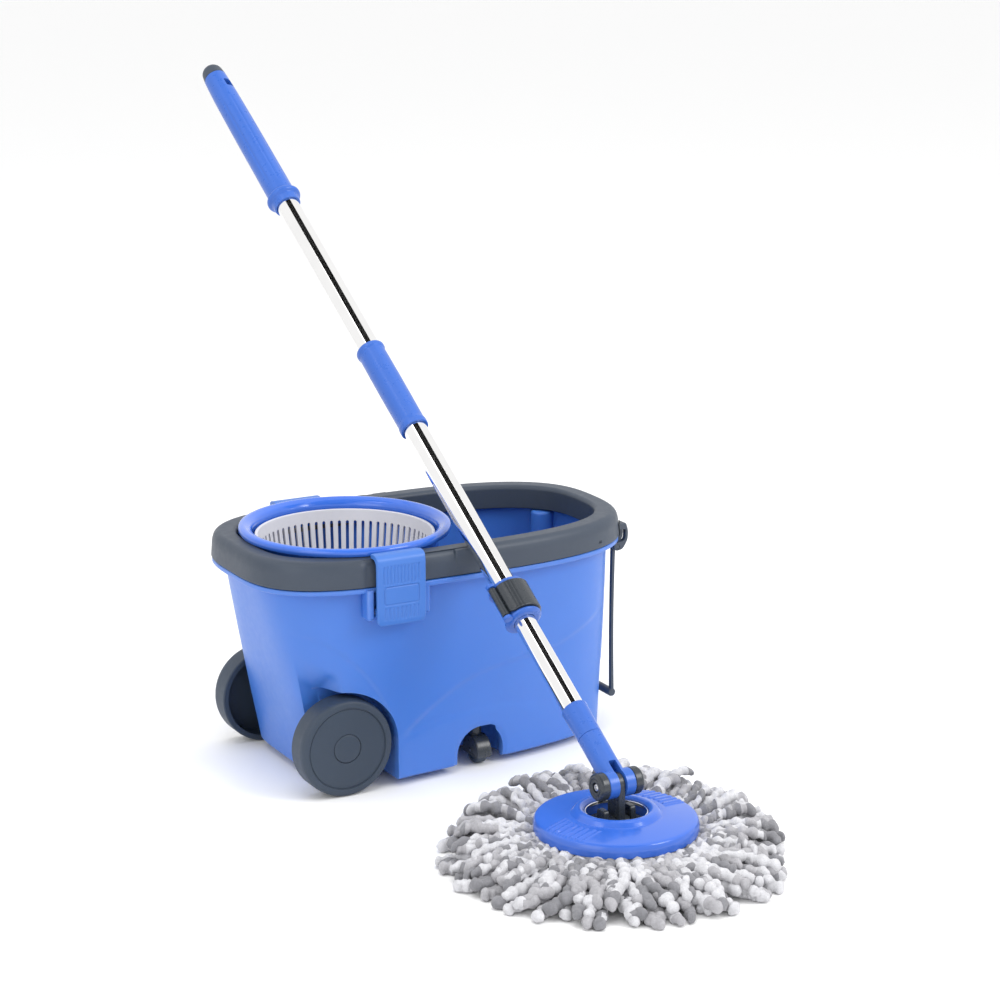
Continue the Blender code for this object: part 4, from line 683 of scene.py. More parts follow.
def wringer_basket():
    top, floor, r, foot, wall = 0.247, 0.15, 0.094, 0.081, 0.0025
    outline = [(r, top, 0.001), (r - 0.0012, top - 0.004, 0.002), (foot, floor + 0.005, 0.003),
               (foot - 0.005, floor - wall, 0.002), (0.0125, floor - wall, 0.001),
               (0.0125, floor - 0.019, 0.0006),
               (0.0078, floor - 0.019, 0.0003), (0.0078, floor + 0.007, 0.0006), (0.0125, floor, 0.001),
               (foot - wall - 0.0045, floor, 0.002), (foot - wall, floor + 0.0055, 0.003),
               (r - wall - 0.0008, top, 0.001)]
    basket = turned(soften(outline, steps=3), 198)
    half, length = 0.0017, 0.066
    capsule = flat_arc(half, 0, math.pi, 9, (0, length / 2 - half))
    capsule += flat_arc(half, math.pi, 2 * math.pi, 9, (0, half - length / 2))
    slot = slab(capsule, -0.014, 0.014, 0.0, 1)
    slot = moved(slot, Matrix.Translation((r - 0.008, 0, top - 0.012 - length / 2)) @ END_ON)
    slots = [moved(slot, Matrix.Rotation(2 * math.pi * (i + 0.5) / 66, 4, "Z")) for i in range(66)]
    basket = carve(basket, together(*slots))
    show("wringer_basket", basket, BASKET_GREY, "basket", ["spin_basket"], RING,
         crease=40)
    cone = [(0, 0.176, 0), (0.006, 0.1754, 0.003), (0.0115, 0.172, 0.004), (0.016, 0.158, 0.008),
            (0.018, 0.154, 0.002), (0.021, 0.1503, 0.0004), (0.018, 0.1503, 0.0004),
            (0.0135, 0.158, 0.002),
            (0.007, 0.168, 0.002), (0, 0.168, 0)]
    show("basket_cone_cap", turned(soften(cone), 72), BASKET_GREY, "basket", ["basket_cone"],
         RING)


# ---------------------------------------------------------------- rim clips
CLIP_PIVOT = Vector(JOINTS["clip_rear_open"]["pos_m"]) - BUCKET


def clip_grooves(x, z):
    """Depth of the grip grooves and of the plain frame between them, on the clip's face."""
    depth = 0.0
    if abs(x) < 0.0215:
        line = 0.5 + 0.5 * math.cos(2 * math.pi * x / 0.0039)
        depth += 0.0008 * line ** 2 * ease((z - 0.2238) / 0.0014) * ease((0.244 - z) / 0.0014)
        line = 0.5 + 0.5 * math.cos(2 * math.pi * x / 0.0046)
        depth += 0.0008 * line ** 2 * ease((z - 0.1868) / 0.0014) * ease((0.2006 - z) / 0.0014)
    dx, dz = abs(x) - 0.0165, abs(z - 0.2124) - 0.0062
    off = math.hypot(max(dx, 0), max(dz, 0)) + min(max(dx, dz), 0) - 0.003
    return depth + 0.00085 * ease(1 - abs(off) / 0.0009)


def rim_clip(side, sign):
    py, pz = CLIP_PIVOT.y, CLIP_PIVOT.z
    outer, inner, top, bottom = 0.1313, 0.1273, 0.2546, 0.1815
    profile = [(outer - 0.0008, bottom, 0.001), (outer, bottom + 0.004, 0.002), (outer + 0.0004, pz, 0.01),
               (outer, top - 0.009, 0.003), (outer - 0.0012, top - 0.004, 0.003),
               (outer - 0.0045, top - 0.0008, 0.003), (outer - 0.009, top, 0.003),
               (0.1125, top - 0.0006, 0.0016),
               (0.1125, 0.2502, 0.001), (outer - 0.0085, 0.2502, 0.001), (outer - 0.005, 0.2472, 0.002),
               (inner, 0.2432, 0.002), (inner, bottom + 0.001, 0.001)]
    path = soften(profile, steps=4)
    fine = []
    for i, (y, z) in enumerate(path):
        y2, z2 = path[(i + 1) % len(path)]
        parts = max(1, round(math.hypot(y2 - y, z2 - z) / 0.0007)) if y > 0.129 and y2 > 0.129 else 1
        fine += [(y + (y2 - y) * k / parts, z + (z2 - z) * k / parts) for k in range(parts)]
    half, corner = 0.027, 0.0055
    xs = [-half, -half + 0.0002, -half + 0.0007]
    xs += [-half + 0.0012 + (2 * half - 0.0024) * i / 150 for i in range(151)]
    xs += [half - 0.0007, half - 0.0002, half]
    rows = []
    for x in xs:
        over = clamp((abs(x) - (half - corner)) / corner)
        lift = corner * (1 - math.sqrt(max(0.0, 1 - over * over)))
        tuck = 0.0006 * ease((abs(x) - half + 0.0008) / 0.0008)
        row = []
        for y, z in fine:
            face = y > outer - 0.0014
            z_new = bottom + lift + (z - bottom) * (pz - bottom - lift) / (pz - bottom) if z < pz else z
            y_new = y - (tuck + clip_grooves(x, z_new)) if face else y
            if y < 0.1185 and z > 0.249:
                y_new += lift * 0.6
            row.append((x, y_new, z_new))
        rows.append(row)
    plate = skin(rows)
    barrel = moved(drum(0.0047, -half + 0.0005, half - 0.0005, 0.0005, 40, bore=0.00205),
                   Matrix.Translation((0, py, pz)) @ SIDEWAYS)
    web = brick((-half + 0.0005, py + 0.0025, pz - 0.0035), (half - 0.0005, inner + 0.001, pz + 0.0035),
                0.0006)
    clip = together(plate, barrel, web)
    place = SET @ Matrix.Translation((RING_X, 0, 0)) @ Matrix.Scale(sign, 4, (0, 1, 0))
    show(f"rim_clip_{side}", clip, CLIP_BLUE, f"clip_{side}", [f"latch_{side}"], place,
         crease=80,
         weigh=False)


# ---------------------------------------------------------------- wheels
def big_wheel(side, sign):
    hub = Matrix.Translation(Vector((WHEEL[0], sign * 0.1131, WHEEL[1])) + BUCKET) @ \
        Matrix.Rotation(-sign * math.pi / 2, 4, "X")
    r, face, inner_end = 0.0513, -0.0012, -0.0271
    web = face - 0.003
    outline = [(r - 0.0066, 0.0, 0.002), (r - 0.0014, -0.0006, 0.0034), (r, -0.0052, 0.003),
               (r, inner_end + 0.001, 0.001), (r - 0.001, inner_end, 0.001),
               (r - 0.0062, inner_end, 0.0008),
               (r - 0.0062, web, 0.001), (0.01, web, 0.001), (0.01, inner_end + 0.0008, 0.0006),
               (0.0043, inner_end + 0.0008, 0.0003), (0.0043, -0.0032, 0.0003), (0.0153, -0.0032, 0.0003),
               (0.0153, face, 0.0005), (r - 0.0096, face, 0.0004), (r - 0.0093, face - 0.0006, 0.0003),
               (r - 0.0084, face - 0.0006, 0.0003), (r - 0.008, -0.0002, 0.0006)]
    tyre = turned(soften(outline, steps=4), 144)
    show(f"road_wheel_{side}", tyre, WHEEL_SLATE, f"big_wheel_{side}", [f"wheel_{side}"],
         hub)
    cap = [(0, -0.0002, 0), (0.0095, -0.0004, 0.004), (0.0138, -0.0007, 0.002), (0.015, -0.0016, 0.0008),
           (0.015, -0.0029, 0.0002), (0, -0.0029, 0)]
    show(f"hub_cap_{side}", turned(soften(cap), 96), WHEEL_SLATE, f"big_wheel_{side}",
         [f"wheel_cap_{side}"],
         hub)


def caster(side, sign):
    spot = SET @ Matrix.Translation((CASTER_X, sign * CASTER_Y, 0))
    trail, radius, half = sign * 0.006, 0.014, 0.0065
    cheek, shell = half + 0.0022, radius + 0.0012
    axle = Matrix.Translation((0, trail, radius)) @ SIDEWAYS
    hood = moved(drum(shell + 0.002, -cheek, cheek, 0.0018, 72), axle)
    neck = [(0, radius + 0.006, 0), (0.0066, radius + 0.006, 0.001), (0.0072, 0.034, 0.003),
            (0.0072, 0.0462, 0.0008),
            (0, 0.0462, 0)]
    hood = carve(hood, turned(soften(neck), 48), way="UNION")
    under = brick((-0.02, trail - 0.03, -0.02), (0.02, trail + 0.03, radius - 0.004), 0)
    space = moved(drum(shell, -half, half, 0.0004, 64), axle)
    mouth = brick((-half, trail - shell, -0.02), (half, trail + shell, radius), 0)
    bore = moved(drum(0.0021, -0.02, 0.02, 0, 24), axle)
    stem = drum(0.0033, 0.038, 0.06, 0, 24)
    hood = carve(hood, under, space, mouth, bore, stem)
    show(f"caster_hood_{side}", hood, BLACK, f"swivel_{side}", [f"caster_fork_{side}"],
         spot,
         bevel=0.0003)
    wide = 0.006
    tyre = [(radius - 0.004, wide, 0.001), (radius - 0.0008, wide - 0.0004, 0.0015),
            (radius, wide - 0.0022, 0.002),
            (radius, -wide + 0.0022, 0.002), (radius - 0.0008, -wide + 0.0004, 0.0015),
            (radius - 0.004, -wide, 0.001),
            (radius - 0.0046, -wide + 0.0012, 0.0006), (0.0052, -wide + 0.0012, 0.0006),
            (0.0046, -wide, 0.0006),
            (0.0021, -wide, 0.0003), (0.0021, wide, 0.0003), (0.0046, wide, 0.0006),
            (0.0052, wide - 0.0012, 0.0006),
            (radius - 0.0046, wide - 0.0012, 0.0006)]
    show(f"caster_tyre_{side}", turned(soften(tyre, steps=3), 72), WHEEL_SLATE, f"small_wheel_{side}",
         [f"caster_wheel_{side}"], spot @ axle)


# ---------------------------------------------------------------- pull handle
HINGE = Vector(JOINTS["tow_handle_swing"]["pos_m"]) - BUCKET
ARM_Y = 0.062


def handle_bracket(side, sign):
    face, base = 0.0132, 0.0255
    outline = [(face - 0.003, base, 0.002), (face, 0.017, 0.006), (face - 0.0004, 0.007, 0.006),
               (face - 0.004, 0.0005, 0.004), (0.006, -0.0036, 0.004)]
    outline += [(x, y, 0.001) for x, y in flat_arc(0.0046, math.radians(-75), math.radians(-200), 10)]
    outline += [(-0.0036, 0.004, 0.001), (0.0045, 0.005, 0.002), (0.0085, 0.0066, 0.002),
                (0.0095, 0.01, 0.002),
                (0.0095, 0.018, 0.0006), (-0.001, 0.019, 0.0006), (-0.001, base, 0.0006)]
    place = Matrix.Translation((HINGE.x, sign * ARM_Y, HINGE.z)) @ UPRIGHT
    bracket = moved(slab(soften(outline, steps=4), -0.0085, 0.0085, 0.0009), place)
    slot = brick((HINGE.x - 0.02, sign * ARM_Y - 0.003, HINGE.z - 0.02),
                 (HINGE.x + 0.04, sign * ARM_Y + 0.003, HINGE.z + 0.0188), 0.0005)
    bore = moved(drum(0.0025, -0.012, 0.012, 0, 24), place)
    rim = skin([at(height, rim_oval(-0.0004)) for height in (0.2145, 0.27)])
    bracket = carve(bracket, rim, slot, bore)
    show(f"handle_hinge_{side}", bracket, SLATE, "bucket", [f"handle_bracket_{side}"], SET,
         crease=45)


def pull_handle():
    drop = HINGE.z - 0.043
    path = [(-0.0012 - 0.001 * math.sin(math.pi * i / 40), -drop * i / 40) for i in range(41)]
    arms = []
    for sign in (-1, 1):
        rows = []
        for i, (x, z) in enumerate(path):
            thick = 0.002 - 0.0003 * math.sin(math.pi * i / 40)
            ring = soften([(x - thick, -0.0025, 0.0009), (x + thick, -0.0025, 0.0009),
                           (x + thick, 0.0025, 0.0009),
                           (x - thick, 0.0025, 0.0009)], steps=3)
            rows.append([(px, sign * ARM_Y + py, z) for px, py in ring])
        eye = moved(drum(0.0044, -0.0025, 0.0025, 0.0005, 40, bore=0.0025),
                    Matrix.Translation((0, sign * ARM_Y, 0)) @ UPRIGHT)
        arms.append(carve(carve(skin(rows), moved(drum(0.004, -0.01, 0.01, 0, 40),
                                                  Matrix.Translation((0, sign * ARM_Y, 0)) @ UPRIGHT)),
                          eye, way="UNION"))
    bar = moved(drum(0.0045, -ARM_Y - 0.0035, ARM_Y + 0.0035, 0.0022, 48),
                Matrix.Translation((-0.002, 0, -drop)) @ UPRIGHT)
    handle = carve(bar, *arms, way="UNION")
    show("tow_handle", handle, SLATE, "tow_handle", ["pull_handle"],
         Matrix.Translation(HINGE + BUCKET),
         crease=45)


# ---------------------------------------------------------------- mop head
def yarn_strands():
    """Radiating tufted strands in layers, each a lumpy rope whose tufts change colour along it."""
    rng = random.Random(11)
    kinds = {"white": [], "pale": [], "grey": []}
    away = math.atan2(0.8479, 0.4659) - math.atan2(HEAD.col[0][1], HEAD.col[0][0])
    layers = [(68, 0.058, 0.17, 0.0062, 0.006, 0.0054, 0.0),
              (66, 0.058, 0.165, 0.0165, 0.012, 0.0054, 0.3),
              (64, 0.062, 0.159, 0.0255, 0.019, 0.0053, 0.7),
              (58, 0.068, 0.149, 0.0285, 0.027, 0.0051, 1.0),
              (34, 0.076, 0.133, 0.03, 0.034, 0.0048, 1.0)]
    for count, near, far, rise, fall, thick, puff in layers:
        for i in range(count):
            angle = 2 * math.pi * (i + rng.uniform(-0.38, 0.38)) / count
            behind = ease(0.5 + 0.75 * math.cos(angle - away)) * puff
            length = rng.uniform(-0.013, 0.005)
            sway, lift = rng.uniform(-0.14, 0.14), rng.uniform(-0.0016, 0.0028)
            girth = thick * rng.uniform(0.88, 1.14)
            beat, turn = rng.uniform(0.01, 0.0132), rng.uniform(0, 6.28)
            curl = behind * rng.uniform(0.01, 0.026)
            steps = 56
            rows = []
            for k in range(steps + 1):
                t = k / steps
                reach = near + (far + length - near) * t
                bend = angle + sway * t * t + 0.022 * math.sin(7 * t + turn)
                height = rise + (fall - rise) * ease(t) + lift * math.sin(math.pi * t)
                crown = 0.0283 if reach < 0.084 else np.interp(reach, (0.084, 0.1336, 0.152, 0.172),
                                                              (0.0283, 0.0235, 0.016, 0.007))
                height = max(min(height, float(crown) + 0.002), girth * 0.98) + curl * ease(t * 1.15)
                middle = Vector((reach * math.cos(bend), reach * math.sin(bend), height))
                tip = math.sqrt(max(0.0, 1 - max(0.0, (t - 0.95) / 0.05) ** 2))
                lump = 1 + 0.2 * math.sin(2 * math.pi * reach / beat + turn)
                ring = []
                for m in range(12):
                    a = 2 * math.pi * m / 12
                    coil = 0.09 * math.sin(2 * a + 2 * math.pi * reach / 0.016 + turn)
                    rough = 0.18 * noise.noise(Vector((reach * 230, m * 0.9 + i * 7.3, rise * 900)))
                    across = Vector((-math.sin(bend), math.cos(bend), 0)) * math.cos(a)
                    ring.append(middle + (across + Vector((0, 0,
                                                           math.sin(a)))) * girth * tip * (lump + coil + rough))
                for point in ring:
                    point.z = max(point.z, 0.0002)
                rows.append(ring)
            k = 0
            while k < steps:
                end = min(steps, k + rng.choice((5, 6, 7, 11, 12, 16)))
                if steps - end < 4:
                    end = steps
                kind = rng.choices(("white", "pale", "grey"), (0.46, 0.3, 0.24))[0]
                kinds[kind].append(skin(rows[k:end + 1]))
                k = end
    looks = {"white": WHITE_YARN, "pale": PALE_YARN, "grey": GREY_YARN}
    for kind, strands in kinds.items():
        show(f"yarn_{kind}", together(*strands), looks[kind], "mop_head", ["yarn_head"], HEAD,
             crease=80,
             weigh=False)


RIDGE_TURN = math.radians(15)


def plate_ridges(point, angle):
    """Two opposite groups of parallel raised bars on the plate's top."""
    r = math.hypot(point.x, point.y)
    if point.z < 0.044 or not 0.046 < r < 0.08:
        return point
    along = point.x * math.cos(RIDGE_TURN) + point.y * math.sin(RIDGE_TURN)
    across = -point.x * math.sin(RIDGE_TURN) + point.y * math.cos(RIDGE_TURN)
    if abs(across) > 0.0235:
        return point
    bar = ease(0.5 + 0.75 * math.cos(2 * math.pi * across / 0.0068 + math.pi))
    edge = ease((r - 0.05) / 0.002) * ease((0.0768 - r) / 0.002) * ease((0.0235 - abs(across)) / 0.001)
    return Vector((point.x, point.y, point.z + 0.0014 * bar * edge * (abs(along) > 0.02)))


def mop_plate():
    r, low, top, crown, hole = 0.08, 0.0336, 0.0466, 0.0501, 0.031
    outline = [(hole + 0.0034, crown + 0.0058, 0.002), (hole + 0.0085, crown + 0.005, 0.004),
               (0.044, crown + 0.0002, 0.003)]
    outline += [(0.0455 + 0.03 * i / 26, crown + (top - crown) * ((i / 26) ** 1.3) + 0.0004,
                 0) for i in range(27)]
    outline += [(r - 0.0018, top - 0.0006, 0.003), (r, top - 0.0052, 0.005), (r, low, 0.001),
                (r - 0.0034, low, 0.001),
                (r - 0.0036, top - 0.005, 0.003), (0.045, crown - 0.0042, 0.003),
                (0.041, low + 0.002, 0.002),
                (hole - 0.007, low + 0.002, 0.0005), (hole - 0.007, low + 0.0045, 0.0005),
                (hole, low + 0.0045, 0.0005),
                (hole, crown + 0.003, 0.001)]
    show("head_plate", turned(soften(outline, steps=5), 420, plate_ridges), PLATE_BLUE, "mop_head",
         ["mop_plate"],
         HEAD, weigh=False)
    z, r = crown + 0.002, hole - 0.0003
    trim = [(r, z, 0.0006), (r, z - 0.003, 0.0003), (r - 0.0014, z - 0.003, 0.0003),
            (r - 0.0014, z, 0.0006)]
    show("bright_ring", turned(soften(trim, steps=4), 160), CHROME, "mop_head", ["plate_trim"],
         HEAD)


def plate_hub():
    low, r = 0.0384, 0.0288
    base = [(0, low + 0.0085, 0), (0.012, low + 0.008, 0.003), (0.015, low + 0.004, 0.003),
            (r, low + 0.0028, 0.001), (r, low, 0.0005), (0, low, 0)]
    hub = turned(soften(base), 96)
    height = PIVOT.z
    side = [(-0.0105, low + 0.001), (0.0105, low + 0.001)] + flat_arc(0.0105, 0, math.pi, 40, (0, height))
    tongue = moved(slab(side, -0.0035, 0.0035, 0.0007), END_ON)
    hub = carve(hub, tongue, way="UNION")
    flanks = []
    for sign in (-1, 1):
        foot = soften([(-0.0085, low + 0.001, 0), (0.0085, low + 0.001, 0), (0.0065, 0.056, 0.003),
                       (-0.0065, 0.056, 0.003)])
        flanks.append(moved(slab(foot, sign * 0.015 - 0.0028, sign * 0.015 + 0.0028, 0.0008), END_ON))
    hub = carve(hub, *flanks, way="UNION")
    hub = carve(hub, moved(drum(0.0033, -0.02, 0.02, 0, 32), Matrix.Translation((0, 0, height)) @ SIDEWAYS))
    show("head_hub", hub, BLACK, "mop_head", ["plate_hub"], HEAD, bevel=0.0003)


# ---------------------------------------------------------------- fork and handle
SEAM, SOCKET_TOP = 0.0574, 0.0941
OUTER, INNER = 0.0127, 0.0111
SOCKET = 0.0125
DRUM_R = 0.01355


def fork():
    neck = [(0, SEAM + 0.026, 0), (0.0098, SEAM + 0.026, 0.0005), (0.0098, SEAM, 0.0002),
            (SOCKET, SEAM, 0.0004),
            (SOCKET, 0.026, 0.01), (SOCKET + 0.0004, 0.004, 0.001), (0, 0.004, 0)]
    yoke = turned(soften(neck), 96)
    drums = moved(drum(DRUM_R, -0.0145, 0.0145, 0.001, 96), SIDEWAYS)
    yoke = carve(yoke, drums, way="UNION")
    slot = brick((-0.004, -0.03, -0.03), (0.004, 0.03, 0.019), 0.0012)
    yoke = carve(yoke, slot, moved(drum(0.0033, -0.04, 0.04, 0, 32), SIDEWAYS))
    show("fork_body", yoke, GRIP_BLUE, "lower_handle", ["fork_yoke"], POLE, crease=45,
         bevel=0.0004)
    for end, sign in (("left", -1), ("right", 1)):
        out = POLE @ Matrix.Rotation(sign * math.pi / 2, 4, "Y")
        start, far = 0.0148, 0.0242
        cap = [(0.005, far, 0.0005), (0.0078, far, 0.0004), (0.0081, far - 0.0006, 0.0002),
               (0.0088, far - 0.0006, 0.0002),
               (0.0091, far, 0.0004), (DRUM_R - 0.0016, far, 0.0012), (DRUM_R, far - 0.002, 0.0012),
               (DRUM_R, start, 0.0006),
               (0.0033, start, 0.0002), (0.0033, far - 0.0036, 0.0002), (0.005, far - 0.0036, 0.0002)]
        show(f"pivot_cap_{end}", turned(soften(cap, steps=4), 96), BLACK, "lower_handle",
             [f"fork_cap_{end}"],
             out)
        head = [(0, far - 0.0022, 0), (0.0015, far - 0.0022, 0.0002), (0.0017, far - 0.0008, 0.0002),
                (0.003, far - 0.0008, 0.001),
                (0.0042, far - 0.002, 0.0006), (0.0042, far - 0.0033, 0.0002),
                (0.0016, far - 0.0033, 0.0002),
                (0.0016, far - 0.0095, 0.0002), (0, far - 0.0095, 0)]
        show(f"pivot_screw_{end}", turned(soften(head), 48), STEEL, "lower_handle", [f"cap_screw_{end}"],
             out)
    sleeve = [(SOCKET, SOCKET_TOP, 0.0003), (SOCKET + 0.0008, SOCKET_TOP - 0.001, 0.0006),
              (SOCKET, SEAM + 0.006, 0.004),
              (SOCKET, SEAM + 0.0003, 0.0004), (INNER + 0.0003, SEAM + 0.0003, 0.0002),
              (INNER + 0.0003, SOCKET_TOP, 0.0002)]
    show("tube_socket", turned(soften(sleeve), 96), GRIP_BLUE, "lower_handle", ["socket_sleeve"],
         POLE)


def tube(name, node_name, body, radius, wall, start, end):
    outline = [(radius, end, 0.0003), (radius, start, 0.0003), (radius - wall, start, 0.0002),
               (radius - wall, end, 0.0002)]
    show(name, turned(soften(outline, steps=3), 128), CHROME, body, [node_name], POLE)


def clamp_parts():
    bottom, top, r, flange = 0.207, 0.2522, 0.0175, 0.0195
    step = bottom + 0.025
    collar = [(OUTER + 0.0022, top, 0.0006), (flange - 0.001, top - 0.0003, 0.001),
              (flange, top - 0.0018, 0.0008),
              (flange, top - 0.004, 0.0006), (r, top - 0.004, 0.0005), (r, bottom + 0.004, 0.0005),
              (flange, bottom + 0.004, 0.0006), (flange, bottom + 0.0018, 0.0008),
              (INNER + 0.005, bottom, 0.001),
              (INNER + 0.0003, bottom, 0.0003), (INNER + 0.0003, step, 0.0002),
              (OUTER + 0.0003, step, 0.0002),
              (OUTER + 0.0003, top, 0.0003)]
    body = turned(soften(collar, steps=4), 128)
    pin = Vector(JOINTS["lever_open"]["pos_m"])
    pin = POLE.inverted() @ pin
    for low in (bottom + 0.0002, top - 0.0038):
        lug = moved(drum(0.0046, low, low + 0.0036, 0.0006, 40), Matrix.Translation((pin.x, pin.y, 0)))
        body = carve(body, lug, way="UNION")
    body = carve(body,
                 moved(drum(0.0018, bottom + 0.0012, top - 0.0012, 0, 24),
                       Matrix.Translation((pin.x, pin.y, 0))),
                 brick((-0.0009, 0.005, bottom - 0.01), (0.0009, 0.03, top + 0.01), 0))
    show("clamp_body", body, GRIP_BLUE, "upper_handle", ["clamp_collar"], POLE,
         bevel=0.0003)
    low, high = bottom + 0.0052, top - 0.0052
    inner, outer = r + 0.0007, r + 0.0043
    start, end = math.radians(208), math.radians(350)
    count = 90
    rows = []
    for i in range(count + 1):
        t = i / count
        angle = start + (end - start) * t
        tail = ease((t - 0.82) / 0.18)
        thick = (outer - inner) * (1 - 0.45 * tail) * (0.45 + 0.55 * ease(t / 0.08))
        groove = 0.0005 * (hump(t, 0.24, 0.016) + hump(t, 0.34, 0.016))
        lift = 0.0016 * ease((t - 0.88) / 0.12)
        drop = 0.004 * ease((t - 0.7) / 0.3) ** 2
        foot = 0.0022 * ease((0.16 - t) / 0.16)
        square = soften([(inner + lift, low + foot + drop * 0.2, 0.0005),
                         (inner + lift + thick - groove, low + foot + drop * 0.2, 0.0012),
                         (inner + lift + thick - groove, high - drop, 0.0012),
                         (inner + lift, high - drop, 0.0005)], steps=3)
        rows.append([(rad * math.cos(angle), rad * math.sin(angle), z) for rad, z in square])
    lever = skin(rows)
    knuckle = moved(drum(0.0039, low + 0.0001, high - 0.0001, 0.0006, 40),
                    Matrix.Translation((pin.x, pin.y, 0)))
    lever = carve(lever, knuckle, way="UNION")
    lever = carve(lever,
                  moved(drum(0.0018, low - 0.01, high + 0.01, 0, 24),
                        Matrix.Translation((pin.x, pin.y, 0))))
    show("clamp_flap", lever, BLACK, "lever", ["clamp_lever"], POLE, crease=45)


def grips():
    low, high, r = 0.477, 0.5977, 0.0149
    bore = OUTER + 0.0003
    outline = [(r - 0.0004, high, 0.0006), (r + 0.001, high - 0.0014, 0.001),
               (r + 0.001, high - 0.005, 0.0012),
               (r - 0.0002, high - 0.008, 0.002), (r + 0.0001, low + 0.06, 0.02),
               (r - 0.0002, low + 0.01, 0.002),
               (r + 0.0008, low + 0.006, 0.002), (r + 0.0004, low, 0.0008), (bore, low, 0.0002),
               (bore, high, 0.0002)]
    show("middle_grip", turned(soften(outline), 112), GRIP_BLUE, "upper_handle", ["mid_grip"],
         POLE)

    low, high = 0.829, 1.0513
    outline = [(0, high, 0), (r - 0.0017, high, 0.0006), (r - 0.0005, high - 0.03, 0.02),
               (r + 0.0001, high - 0.09, 0.03), (r + 0.0005, low + 0.0175, 0.002),
               (r + 0.0036, low + 0.0152, 0.0012),
               (r + 0.0046, low + 0.0138, 0.001), (r + 0.0046, low + 0.0112, 0.001),
               (r + 0.0036, low + 0.0098, 0.0012),
               (r + 0.0009, low + 0.008, 0.0014), (r + 0.0002, low, 0.0008), (bore, low, 0.0002),
               (bore, low + 0.075, 0.0002),
               (0, low + 0.075, 0)]

    def creased(point, angle):
        radius = math.hypot(point.x, point.y)
        if radius < r - 0.003 or point.z < low + 0.0185:
            return point
        share = ease((point.z - low - 0.0185) / 0.03) * ease((high - 0.034 - point.z) / 0.03)
        groove = 0.0
        for middle in (-2.55, -1.75, -0.95, 0.6, 1.4, 2.2):
            gap = abs((angle - middle + math.pi) % (2 * math.pi) - math.pi)
            groove += 0.00055 * ease(1 - gap / 0.16)
        size = (radius - groove * share) / radius
        return Vector((point.x * size, point.y * size, point.z))

    dense = []
    soft = soften(outline)
    for i, (a, b) in enumerate(soft):
        a2, b2 = soft[(i + 1) % len(soft)]
        parts = max(1, round(abs(b2 - b) / 0.004)) if a > bore + 0.0002 and a2 > bore + 0.0002 else 1
        dense += [(a + (a2 - a) * k / parts, b + (b2 - b) * k / parts) for k in range(parts)]
    shape = turned(dense, 144, creased)
    hole = high - 0.0213
    turn = Matrix.Rotation(math.radians(24), 4, "Z")
    slot = soften([(-0.0052, hole - 0.006, 0.0024), (0.0052, hole - 0.006, 0.0024),
                   (0.0052, hole + 0.006, 0.0024),
                   (-0.0052, hole + 0.006, 0.0024)])
    shape = carve(shape, moved(slab(slot, -0.03, 0.03, 0, 1), turn @ UPRIGHT),
                  drum(0.0088, high - 0.0085, high + 0.01, 0, 48))
    show("hand_grip", shape, GRIP_BLUE, "upper_handle", ["top_grip"], POLE, crease=45,
         bevel=0.0005)
    end = 1.07
    cap = [(0, end, 0), (r - 0.0099, end - 0.0006, 0.004), (r - 0.0059, end - 0.0028, 0.004),
           (r - 0.0031, end - 0.007, 0.004), (r - 0.0017, high + 0.0003, 0.0006),
           (0.0085, high + 0.0003, 0.0002),
           (0.0085, high - 0.008, 0.0002), (0, high - 0.008, 0)]
    show("grip_end_cap", turned(soften(cap, steps=6), 96), SLATE, "upper_handle", ["end_cap"],
         POLE)


# ---------------------------------------------------------------- assemble
bucket_shell()
rim_channel()
splash_ring()
wringer_basket()
for side, sign in SIDES:
    rim_clip(side, sign)
    big_wheel(side, sign)
    caster(side, sign)
    handle_bracket(side, sign)
pull_handle()
yarn_strands()
mop_plate()
plate_hub()
fork()
tube("inner_tube", "lower_tube", "lower_handle", INNER, 0.001, SEAM + 0.0003, 0.36)
tube("outer_tube_low", "middle_tube", "upper_handle", OUTER, 0.0009, 0.2323, 0.5372)
tube("outer_tube_high", "upper_tube", "upper_handle", OUTER, 0.0009, 0.5375, 0.9037)
clamp_parts()
grips()

KEPT = {STEEL:
        "basket_spindle latch_pin_front latch_pin_rear wheel_axle_front wheel_axle_rear "
        "caster_axle_front caster_axle_rear caster_stem_front caster_stem_rear fork_pin "
               "twisted_rod lever_pin",
        BEARING: "basket_bush refill_ring drive_nut guide_bush", BLACK: "rod_anchor tube_joiner",
        SLATE: "handle_pin_front handle_pin_rear"}
for look, names in KEPT.items():
    for name in names.split():
        for slot in frame["nodes"][name].material_slots:
            slot.material = look


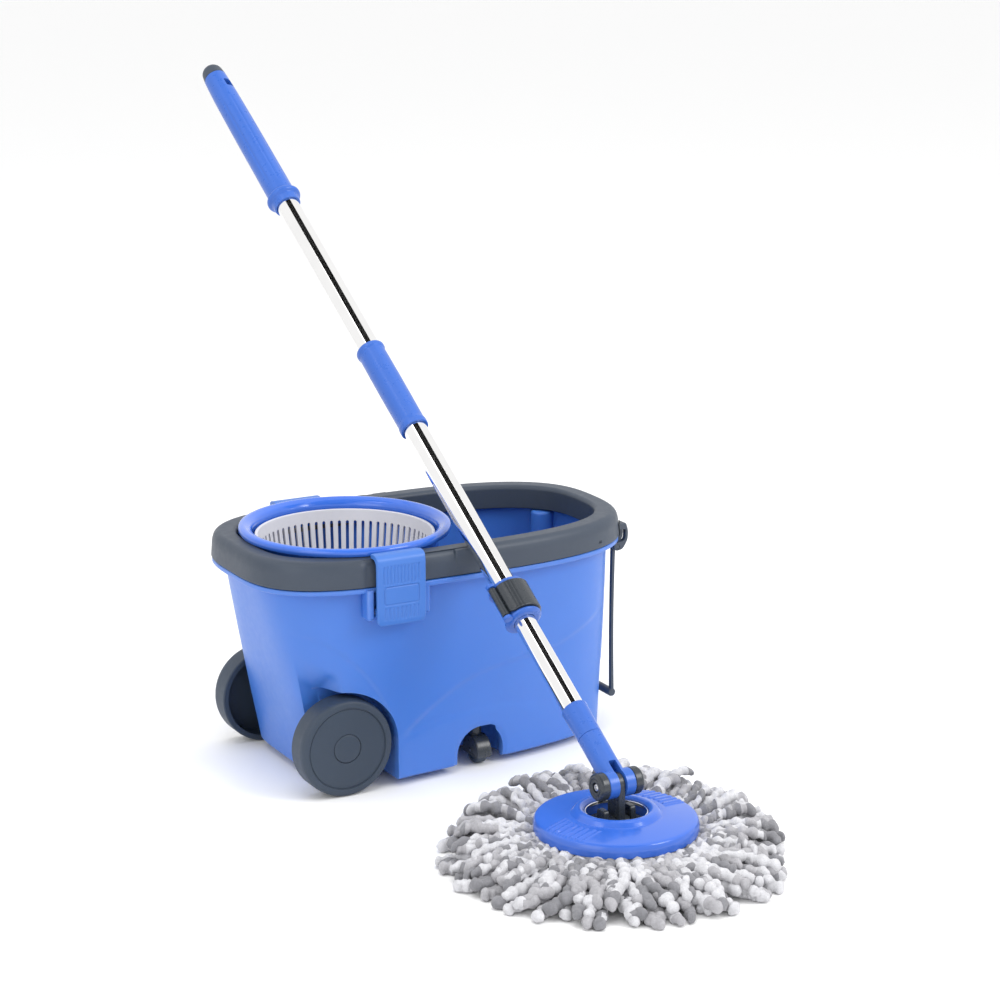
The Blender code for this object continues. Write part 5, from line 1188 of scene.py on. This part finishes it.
# ---------------------------------------------------------------- floor, light and camera
def studio():
    bpy.ops.mesh.primitive_plane_add(size=90, location=(0, 0, 0))
    floor = bpy.context.object
    floor.name = "studio_floor"
    white = bpy.data.materials.new("pale_floor")
    white.use_nodes = True
    surface = white.node_tree.nodes["Principled BSDF"]
    surface.inputs["Base Color"].default_value = (0.96, 0.96, 0.96, 1)
    surface.inputs["Roughness"].default_value = 0.55
    surface.inputs["Specular IOR Level"].default_value = 0.15
    floor.data.materials.append(white)

    world = bpy.data.worlds.new("studio_air")
    bpy.context.scene.world = world
    world.use_nodes = True
    air = world.node_tree.nodes["Background"]
    air.inputs["Color"].default_value = (1.0, 1.0, 1.0, 1)
    air.inputs["Strength"].default_value = 1.0

    aim = Vector((0, -0.05, 0.2))
    eye = BUCKET + Vector((-1.3167, -2.5657, 1.0227))

    def softbox(name, place, size, power, tint=(1, 1, 1)):
        lamp = bpy.data.lights.new(name, "AREA")
        lamp.shape, lamp.size, lamp.size_y = "RECTANGLE", size[0], size[1]
        lamp.energy, lamp.color = power, tint
        obj = bpy.data.objects.new(name, lamp)
        obj.location = place
        obj.rotation_mode = "QUATERNION"
        obj.rotation_quaternion = (aim - Vector(place)).to_track_quat("-Z", "Y")
        bpy.context.scene.collection.objects.link(obj)

    softbox("key_light", (1.6, -2.2, 2.2), (1.4, 1.4), 42)
    softbox("top_light", (-0.3, -0.2, 2.8), (2.2, 2.2), 34)
    softbox("fill_light", (-2.4, -1.4, 1.3), (1.6, 1.6), 10)

    axis = ALONG.normalized()
    middle = PIVOT + axis * 0.45
    look = (middle - eye).normalized()
    toward = (-look + axis * look.dot(axis)).normalized()
    facing = Matrix.Rotation(math.radians(14.5), 3, axis) @ toward
    bounce = look - 2 * look.dot(facing) * facing
    bpy.ops.mesh.primitive_plane_add(size=1, location=middle + bounce * 1.6)
    card = bpy.context.object
    card.name = "dark_card"
    flat = (bounce - axis * bounce.dot(axis)).normalized()
    card.matrix_world = Matrix.Translation(middle + bounce * 1.6) @ Matrix(
        (flat.cross(axis), axis, -flat)).transposed().to_4x4() @ Matrix.Diagonal((1.25, 3.4, 1, 1))
    soot = bpy.data.materials.new("card_black")
    soot.use_nodes = True
    soot.node_tree.nodes["Principled BSDF"].inputs["Base Color"].default_value = (0.004, 0.004, 0.004, 1)
    soot.node_tree.nodes["Principled BSDF"].inputs["Specular IOR Level"].default_value = 0.0
    card.data.materials.append(soot)
    card.visible_camera = card.visible_diffuse = card.visible_shadow = False

    camera = bpy.data.objects.new("camera", bpy.data.cameras.new("camera"))
    camera.data.lens, camera.data.sensor_width = 101.66, 36
    camera.data.clip_start, camera.data.clip_end = 0.1, 60
    forward = Vector((0.4659, 0.8479, -0.2529)).normalized()
    camera.location = eye
    camera.rotation_mode = "QUATERNION"
    camera.rotation_quaternion = forward.to_track_quat("-Z", "Y")
    bpy.context.scene.collection.objects.link(camera)
    bpy.context.scene.camera = camera
    bpy.context.scene.view_settings.view_transform = "Standard"


studio()
bpy.context.view_layer.update()
